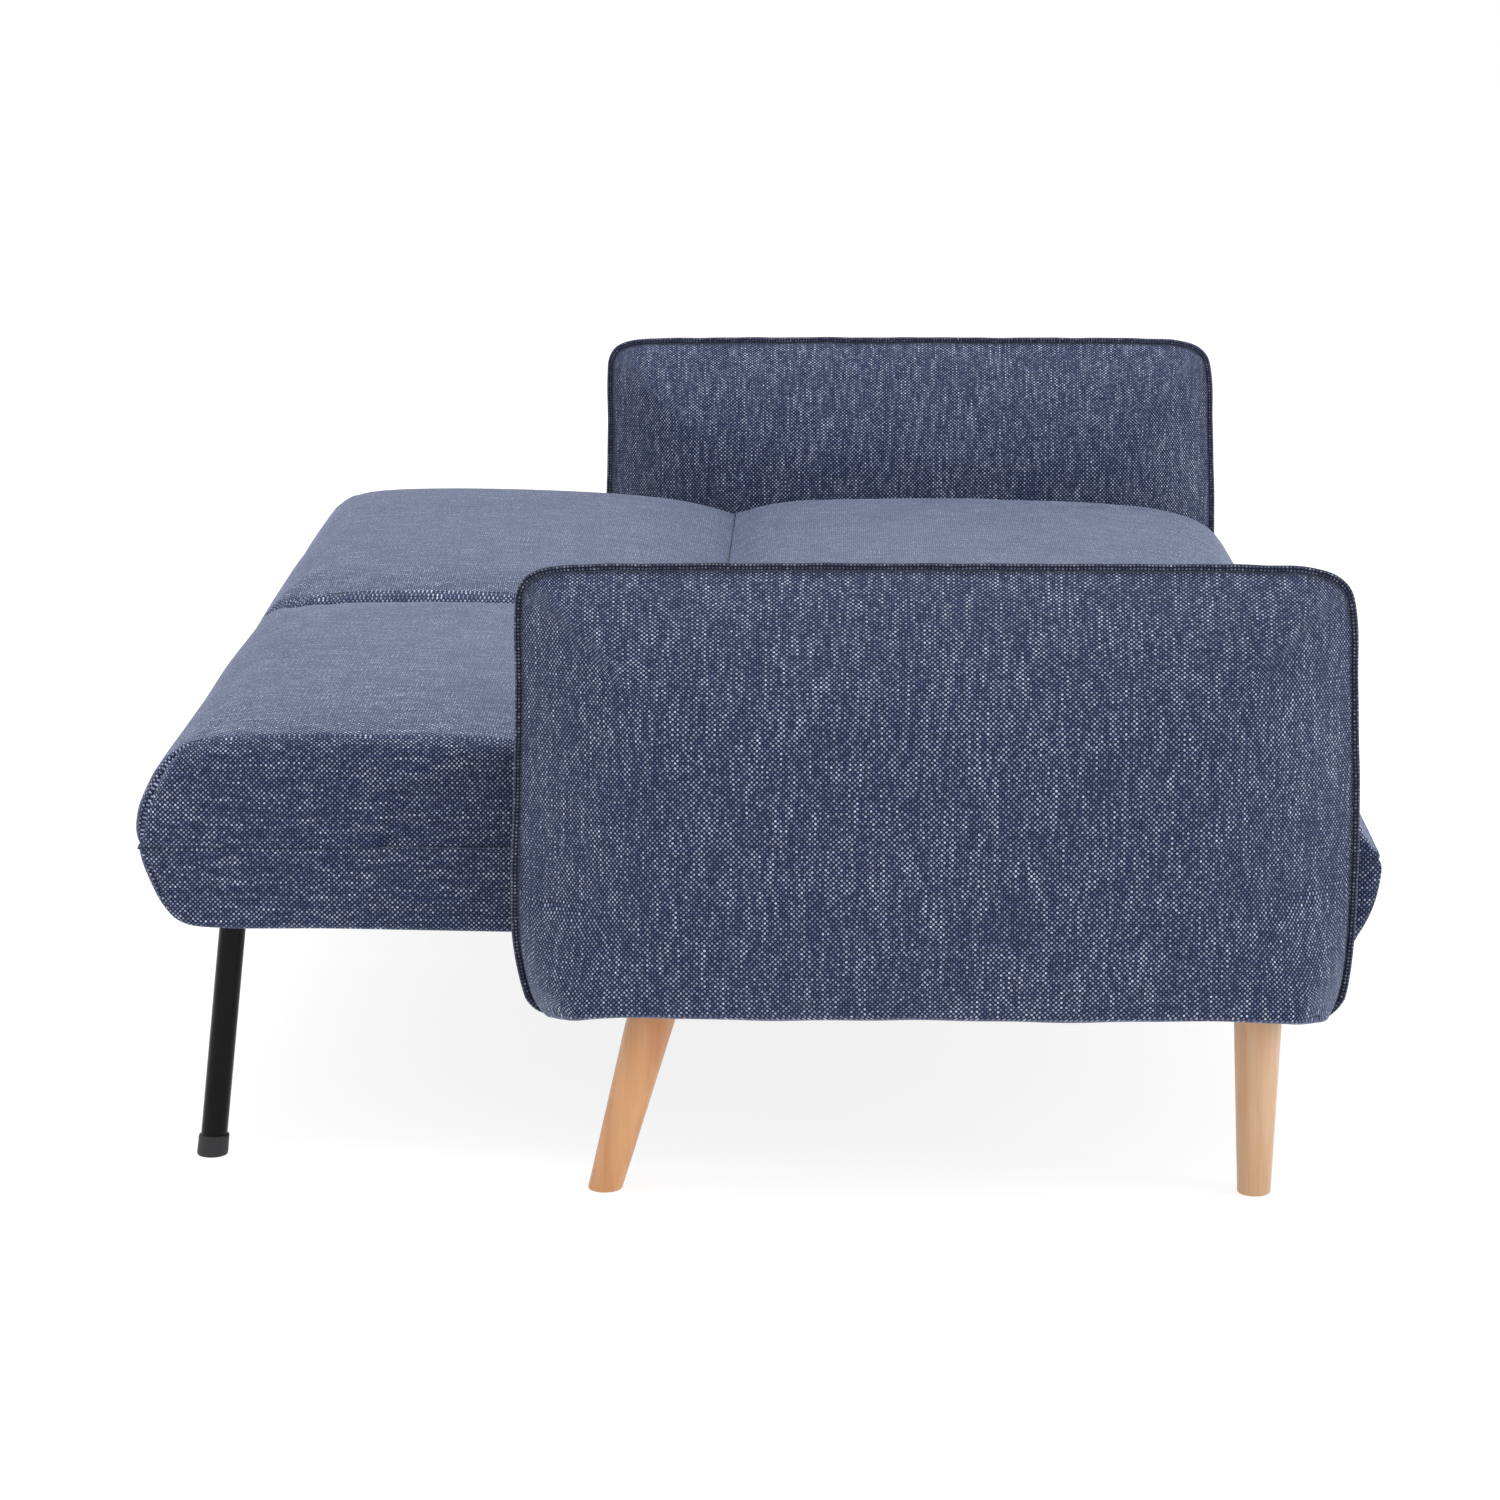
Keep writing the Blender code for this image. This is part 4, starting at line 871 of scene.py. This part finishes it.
def build_backs(sizes):
    """Both halves of the back's pad: a boxed end with a corner seam, a soft fold along its top, two
    sewn creases near the arm, and a top that falls off towards the split."""
    outer, inner = BACK_HIGH.x, BACK_LOW.x

    def shape(points):
        x, y, z = points.T.copy()
        top = np.clip((z - 0.335) / 0.055, 0, 1)
        along = np.clip((x - inner) / (outer - inner), 0, 1)
        from_groove = np.clip((y - 0.0535) / 0.05, 0, 1)
        crown = 0.0065 * (1 - np.abs(2 * along - 1) ** 3)
        fall = -0.0120 * np.clip(1 - (x - inner) / 0.060, 0, 1) ** 2
        unrest = 0.0014 * waves(x, y, 0.47) * np.clip((outer - x) / 0.1, 0, 1)
        points[:, 2] += top * (crown + fall + unrest) * from_groove
        end = np.clip((x - outer + 0.0125) / 0.006, 0, 1)
        side_view = np.column_stack([y, z])
        bow = [(0.348, 0.300), (0.343, 0.325), (0.327, 0.352), (0.302, 0.370), (0.26, 0.377), (0.215, 0.378)]
        arc = groove(side_view, bow, 0.007)
        nick = groove(side_view, [(0.343, 0.300), (0.340, 0.322)], 0.004)
        pinch = groove(side_view, [(0.537, 0.408), (0.529, 0.388)], 0.008)
        below = np.clip((0.347 - y) / 0.02, 0, 1) * np.clip((0.372 - z) / 0.02, 0, 1)
        points[:, 0] -= end * (0.0048 * arc + 0.0036 * nick + 0.0045 * pinch + 0.0034 * below)
        return points

    back = stuffed(
        "back_right_cushion", BACK_ROWS, BACK_CORNERS, BACK_SHARP, (96, 22),
        (inner + 0.0008, outer - 0.0008), 70, 0.5, soften=2.0, shape=shape,
    )

    def held(points):
        base = np.clip(1 - (points[:, 2] - BACK_LOW.z - 0.002) / 0.006, 0, 1)
        front = np.clip((0.072 - points[:, 1]) / 0.010, 0, 1)
        from_middle = np.abs(points[:, 0] - (outer + inner) / 2)
        ends = np.clip((from_middle - (outer - inner) / 2 + 0.020) / 0.008, 0, 1)
        return np.maximum(np.maximum(base, front), 0.75 * ends)

    swell(back, held, sizes.swell, 3.0)
    refine(back)
    for low, high in hinge_rooms(BACK_LOW.y, 1.0):
        cut(back, low, high)
    for side_name, piece in pair_of(back, "back_left_cushion").items():
        cover(piece, None, "navy_weave_cloth", "navy_weave", f"back_{side_name}_pad")
        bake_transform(piece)


def prism(name, outline, ends):
    """A closed prism: a plane polygon of (y, z) carried along X."""
    outline = np.asarray(outline, float)
    count = len(outline)
    points = np.concatenate([np.column_stack([np.full(count, x), outline]) for x in ends])
    faces = [list(range(count)), list(range(2 * count - 1, count - 1, -1))]
    faces += [[i, (i + 1) % count, count + (i + 1) % count, count + i] for i in range(count)]
    return mesh_from(name, points, faces, points[:, 1:])


def carve(obj, cutter):
    """Takes the cutter's room out of a closed piece."""
    modifier = obj.modifiers.new("room", "BOOLEAN")
    modifier.operation = "DIFFERENCE"
    modifier.solver = "EXACT"
    modifier.object = cutter
    settle(obj)
    bpy.data.objects.remove(cutter, do_unlink=True)


def cut(obj, low, high):
    """Takes a box's room out of a closed piece."""
    outline = [(low[1], low[2]), (high[1], low[2]), (high[1], high[2]), (low[1], high[2])]
    carve(obj, prism("room", outline, (low[0], high[0])))


BASE_TOP = BACK_LOW.z - 0.0001
BASE_ROWS = np.array([
    (END_LOW.y, BASE_LOW.z - 0.0035, 0.004, 0, 0.003), (0.20, BASE_LOW.z - 0.0028, 0.006, 0, 0.005),
    (0.40, BASE_LOW.z - 0.0006, 0.006, 0.0005, 0.005), (0.5140, BASE_LOW.z + 0.0004, 0.006, 0.0005, 0.0035),
    (0.5330, BASE_LOW.z + 0.0024, 0.006, 0.001, 0.003), (0.5465, BASE_LOW.z + 0.0080, 0.006, 0.002, 0.003),
    (0.5570, BASE_LOW.z + 0.0180, 0.006, 0.0045, 0.0035), (0.5655, BASE_LOW.z + 0.0310, 0.006, 0.008, 0.005),
    (0.5725, BASE_LOW.z + 0.0470, 0.006, 0.0095, 0.005), (0.5782, BASE_LOW.z + 0.0640, 0.005, 0.0085, 0.004),
    (0.5800, BASE_TOP, 0.003, 0.002, 0.0028),
    (0.38, BASE_TOP, 0.003, 0, 0.0026), (0.20, BASE_TOP, 0.002, 0, 0.0015),
    (END_LOW.y, BASE_TOP, 0.002, 0, 0.0015),
])
BASE_CORNERS = (0, 4, 10, 13)
BASE_SHARP = (0, 10, 13)


def build_back_bases():
    """The covers of both back frames: a stuffed form with a corner seam at the rear of its end, made
    hollow by taking out the frame's room and the opening under it."""
    base = stuffed(
        "back_right_base_cover", BASE_ROWS, BASE_CORNERS, BASE_SHARP, (84, 18),
        (BASE_LOW.x + 0.0006, END_HIGH.x + 0.0006), 70, 0.4,
    )
    front, outer, inner = END_LOW.y - 0.01, END_HIGH.x - 0.0022, BASE_LOW.x + 0.0034
    lid = BASE_TOP - 0.0028
    room = [
        (front, BASE_LOW.z + 0.001), (0.500, BASE_LOW.z + 0.004), (0.520, BASE_LOW.z + 0.008),
        (0.540, BASE_LOW.z + 0.0205), (0.553, BASE_LOW.z + 0.047), (0.561, lid), (front, lid),
    ]
    carve(base, prism("room", room, (inner, outer)))
    cut(base, (inner + 0.022, front, lid - 0.004), (outer - 0.022, 0.530, BASE_TOP + 0.01))
    cut(base, (BASE_LOW.x + 0.009, front, BASE_LOW.z - 0.02), (END_HIGH.x - 0.008, 0.512, BASE_LOW.z + 0.02))
    for side_name, piece in pair_of(base, "back_left_base_cover").items():
        piece.data.shade_smooth()
        cover(
            piece, f"back_{side_name}", "navy_weave_cloth", "navy_weave",
            f"back_{side_name}_end_cover", f"back_{side_name}_rear_cover",
        )


def build_seat_front():
    """The padded cover of the seat's front rail, under the pad's seam."""
    low, top, back = FRONT_LOW.z, SEAT_LOW.z - 0.0003, FRONT_HIGH.y
    rows = np.array([
        (-0.5530, low, 0.004, 0, 0.003), (back, low, 0.004, 0, 0.003),
        (back, top, 0.004, 0, 0.003), (-0.5805, top, 0.004, 0, 0.003),
        (-0.5834, top - 0.0030, 0.004, 0, 0.003),
        (-0.5846, top - 0.0090, 0.004, 0, 0.003), (-0.5838, 0.2840, 0.004, 0, 0.003),
        (-0.5790, 0.2610, 0.004, 0, 0.003),
        (-0.5720, 0.2430, 0.004, 0, 0.003), (-0.5640, 0.2290, 0.004, 0, 0.003),
        (-0.5590, 0.2200, 0.004, 0, 0.003),
    ])
    front = stuffed(
        "seat_front_panel", rows, (0, 1, 2, 3), (0, 1, 2, 3), (4, 16),
        (FRONT_LOW.x + 0.001, FRONT_HIGH.x - 0.001), 120, 0.2,
    )
    refine(front)
    cover(front, "base", "navy_weave_cloth", "navy_weave", "seat_front_cover")
    back = FRONT_HIGH.y + 0.17
    sides = ((-0.5560, low), (back, low), (back, top), (-0.5560, top))
    rows = np.array([(y, z, 0.004, 0, 0.0015) for y, z in sides])
    outer = SEAT_HIGH.x - 0.0008
    end = stuffed(
        "seat_right_end_cloth", rows, (0, 1, 2, 3), (0, 1, 2, 3), (24, 12), (outer - 0.0045, outer), 3, 0.2,
    )
    for piece in pair_of(end, "seat_left_end_cloth").values():
        cover(piece, "base", "navy_weave_cloth", "navy_weave")


def build_beech_leg(place, side_name):
    """A tapered round leg: level rings whose radius falls evenly to the foot, with a softened edge."""
    node = f"leg_{place}_{side_name}"
    low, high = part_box(node)
    side = SIDES[side_name]
    x = (low.x + high.x) / 2
    rake = math.radians(14.9) if place == "rear" else 0.0
    top, foot = high.z, low.z
    reach = top + 0.006
    top_radius, foot_radius = 0.0225, 0.0155
    edge = 0.0022
    bend = np.linspace(0, math.pi / 2, 6)
    heights = np.concatenate([foot + edge * (1 - np.cos(bend)), np.linspace(foot + edge, reach, 26)[1:]])
    radii = foot_radius + (top_radius - foot_radius) * heights / top
    radii[: len(bend)] -= edge * (1 - np.sin(bend))
    top_y = high.y - top_radius / math.cos(rake) if place == "front" else low.y + top_radius / math.cos(rake)

    def centre_of(z):
        return np.full(len(z), x), top_y + (top - z) * math.tan(rake)

    leg = turned(f"beech_leg_{place}_{side_name}", heights, radii, centre_of, 56, 1 / math.cos(rake))
    cover(leg, "base", f"beech_{place}", "beech", node)


def build_support_leg(side_name):
    """The folding steel leg: a smooth tube along its leaning axis and a moulded foot."""
    side = SIDES[side_name]
    axis_y, axis_z = SUPPORT[1], SUPPORT[2]
    lean = math.radians(6.27)
    way = np.array((0.0, math.sin(lean), -math.cos(lean)))
    length = axis_z / math.cos(lean)
    start = np.array((side * abs(SUPPORT[0]), axis_y, axis_z))
    body = f"support_leg_{side_name}"
    low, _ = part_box(f"{body}_tube")
    steps = np.concatenate([[-0.0130, -0.0124], np.linspace(-0.0115, length - 0.006, 30)])
    path = start + steps[:, None] * way
    pipe = tube(f"{body}_pipe", path, 0.0125, 48)
    cover(pipe, body, "black_enamel", "black_steel", f"{body}_tube")
    foot = 0.0009
    heights = np.array([
        0.0, 0.0003, foot, 0.002, 0.006, 0.010, 0.0145, 0.0178, 0.0190, 0.0199, 0.0204, 0.0205,
    ])
    radii = np.array([
        0.0132, 0.0139, 0.0143, 0.0147, 0.0147, 0.0146, 0.0145, 0.0146, 0.0144, 0.0140, 0.0133, 0.0126,
    ])

    def centre_of(z):
        return np.full(len(z), start[0]), axis_y + (axis_z - z) * math.tan(lean)

    cap = turned(f"{body}_foot", heights, radii, centre_of, 48, 1 / math.cos(lean))
    cover(cap, body, "black_rubber", "black_plastic", f"{body}_cap")


def dust_sheet(name, body, xs, ys, z):
    """A thin bonded cloth stapled under a frame, hanging a few millimetres between its rails."""
    wide, tall = 60, 30
    x = np.linspace(xs[0], xs[1], wide + 1)
    y = np.linspace(ys[0], ys[1], tall + 1)
    gx, gy = np.meshgrid(x, y, indexing="ij")
    u = (gx - xs[0]) / (xs[1] - xs[0])
    v = (gy - ys[0]) / (ys[1] - ys[0])
    sag = 0.003 * (4 * u * (1 - u)) * (4 * v * (1 - v))
    top = np.stack([gx, gy, z - sag], axis=2).reshape(-1, 3)
    below = top - (0, 0, 0.0006)
    count = len(top)
    upper = grid_faces(wide + 1, tall + 1, 0)
    lower = grid_faces(wide + 1, tall + 1, count, flip=True)
    rim = rim_of(wide, tall)
    nxt = np.roll(rim, -1)
    sides = np.column_stack([rim, nxt, nxt + count, rim + count])
    points = np.concatenate([top, below])
    obj = mesh_from(name, points, np.concatenate([upper, lower, sides]), points[:, :2], weld=1e-7)
    cover(obj, body, "dust_cloth", "black_plastic")


CARRIED = {
    "pine_along_x": ("seat_front_rail", "seat_rear_rail", "back_{side}_top_rail"),
    "pine_along_y": (
        "seat_centre_rail", "seat_hinge_block", "seat_side_rail_{side}", "arm_{side}_core",
        "back_{side}_outer_rail", "back_{side}_inner_rail",
    ),
    "plywood_sheet": ("back_{side}_panel",),
    "zinc_plate": (
        "arm_bolt_front_{side}", "arm_bolt_rear_{side}", "seat_spring_{side}_1", "seat_spring_{side}_2",
        "leg_front_{side}_stud", "leg_rear_{side}_stud",
        "hinge_{side}_outer_seat_plate", "hinge_{side}_outer_pin", "hinge_{side}_outer_back_plate",
        "hinge_{side}_inner_seat_plate", "hinge_{side}_inner_pin", "hinge_{side}_inner_back_plate",
    ),
    "black_enamel": ("support_leg_{side}_bracket",),
}


def area_light(name, place, aim, size, energy):
    data = bpy.data.lights.new(name, "AREA")
    data.shape = "RECTANGLE"
    data.size, data.size_y = size
    data.energy = energy
    light = bpy.data.objects.new(name, data)
    bpy.context.scene.collection.objects.link(light)
    light.location = place
    light.rotation_euler = (Vector(aim) - Vector(place)).to_track_quat("-Z", "Y").to_euler()
    return light


class FUTON_OT_stage(bpy.types.Operator):
    """Build the pale floor, the soft lights and the camera"""

    bl_idname = "futon.stage"
    bl_label = "Stage"

    def execute(self, context):
        scene = context.scene
        scene.view_settings.view_transform = "Standard"
        world = bpy.data.worlds.new("studio")
        world.use_nodes = True
        background = world.node_tree.nodes["Background"]
        background.inputs["Color"].default_value = (1, 1, 1, 1)
        background.inputs["Strength"].default_value = 1.0
        scene.world = world
        floor_mesh = bpy.data.meshes.new("floor")
        reach = 14.0
        corners = [(-reach, -reach, 0), (reach, -reach, 0), (reach, reach, 0), (-reach, reach, 0)]
        floor_mesh.from_pydata(corners, [], [(0, 1, 2, 3)])
        floor = bpy.data.objects.new("floor", floor_mesh)
        scene.collection.objects.link(floor)
        graph = Graph("pale_floor")
        graph.finish((0.3, 0.3, 0.3), 0.9)
        graph.shader.inputs["Emission Color"].default_value = (1, 1, 1, 1)
        graph.shader.inputs["Emission Strength"].default_value = 0.82
        floor_mesh.materials.append(graph.material)
        area_light("key", (-0.2, 0.1, 4.2), (0, 0, 0.3), (3.4, 3.0), 120.0)
        area_light("fill", (-2.6, -4.4, 1.9), (0, 0, 0.3), (2.0, 1.8), 48.0)
        data = bpy.data.cameras.new("camera")
        data.lens = 110.0
        data.sensor_width = SENSOR_WIDTH
        data.clip_end = 60.0
        camera = bpy.data.objects.new("camera", data)
        scene.collection.objects.link(camera)
        camera.location = (-4.93, -0.079, 1.297)
        way = Vector((0.9776, 0.0196, -0.2096))
        camera.rotation_euler = way.to_track_quat("-Z", "Y").to_euler()
        scene.camera = camera
        return {"FINISHED"}


class FUTON_OT_arms(bpy.types.Operator):
    """Build both stuffed arms with their piping"""

    bl_idname = "futon.arms"
    bl_label = "Arms"

    def execute(self, context):
        build_arms(context.scene.futon_sizes)
        return {"FINISHED"}


class FUTON_OT_seat(bpy.types.Operator):
    """Build the seat cushion, its front panel and its dust cover"""

    bl_idname = "futon.seat"
    bl_label = "Seat"

    def execute(self, context):
        build_seat(context.scene.futon_sizes)
        build_seat_front()
        rail_low, rail_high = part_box("seat_front_rail")
        _, rear_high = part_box("seat_rear_rail")
        dust_sheet(
            "seat_dust_cover", "base", (rail_low.x + 0.004, rail_high.x - 0.004),
            (rail_low.y + 0.004, rear_high.y - 0.002), rail_low.z - 0.0004,
        )
        return {"FINISHED"}


class FUTON_OT_backs(bpy.types.Operator):
    """Build both back halves: cushions, base covers and dust covers"""

    bl_idname = "futon.backs"
    bl_label = "Backs"

    def execute(self, context):
        build_backs(context.scene.futon_sizes)
        build_back_bases()
        for side_name, side in SIDES.items():
            inner_low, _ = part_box("back_right_inner_rail")
            outer_low, outer_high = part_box("back_right_outer_rail")
            xs = sorted((side * (inner_low.x + 0.002), side * (outer_high.x - 0.002)))
            _, top_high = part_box(f"back_{side_name}_top_rail")
            dust_sheet(
                f"back_{side_name}_dust_cover", f"back_{side_name}", xs,
                (outer_low.y + 0.002, top_high.y - 0.006), outer_low.z - 0.0004,
            )
        return {"FINISHED"}


class FUTON_OT_legs(bpy.types.Operator):
    """Build the four beech legs and the two folding support legs"""

    bl_idname = "futon.legs"
    bl_label = "Legs"

    def execute(self, context):
        for side_name in SIDES:
            build_beech_leg("front", side_name)
            build_beech_leg("rear", side_name)
            build_support_leg(side_name)
        return {"FINISHED"}


class FUTON_OT_frame(bpy.types.Operator):
    """Give the carried-over frame pieces their wood and metal finishes"""

    bl_idname = "futon.frame"
    bl_label = "Frame finishes"

    def execute(self, context):
        made = finishes(context.scene.futon_sizes)
        for material, patterns in CARRIED.items():
            names = {pattern.format(side=side) for pattern in patterns for side in SIDES}
            for name in names:
                node = frame["nodes"][name]
                node.data.materials.clear()
                node.data.materials.append(made[material])
        return {"FINISHED"}


class FUTON_PT_panel(bpy.types.Panel):
    """Lists the sizes and the builders"""

    bl_idname = "FUTON_PT_panel"
    bl_label = "Futon sofa bed"
    bl_space_type = "VIEW_3D"
    bl_region_type = "UI"
    bl_category = "Futon"

    def draw(self, context):
        sizes = context.scene.futon_sizes
        for key in FutonSizes.__annotations__:
            self.layout.prop(sizes, key)
        for operator in OPERATORS:
            self.layout.operator(operator.bl_idname)


OPERATORS = (FUTON_OT_stage, FUTON_OT_arms, FUTON_OT_seat, FUTON_OT_backs, FUTON_OT_legs, FUTON_OT_frame)
CLASSES = (FutonSizes, *OPERATORS, FUTON_PT_panel)


def register():
    for item in CLASSES:
        bpy.utils.register_class(item)
    bpy.types.Scene.futon_sizes = bpy.props.PointerProperty(type=FutonSizes)


def unregister():
    del bpy.types.Scene.futon_sizes
    for item in reversed(CLASSES):
        bpy.utils.unregister_class(item)


def main():
    register()
    for operator in OPERATORS:
        group, name = operator.bl_idname.split(".")
        getattr(getattr(bpy.ops, group), name)()
    bpy.context.view_layer.update()


if __name__ == "__main__":
    main()
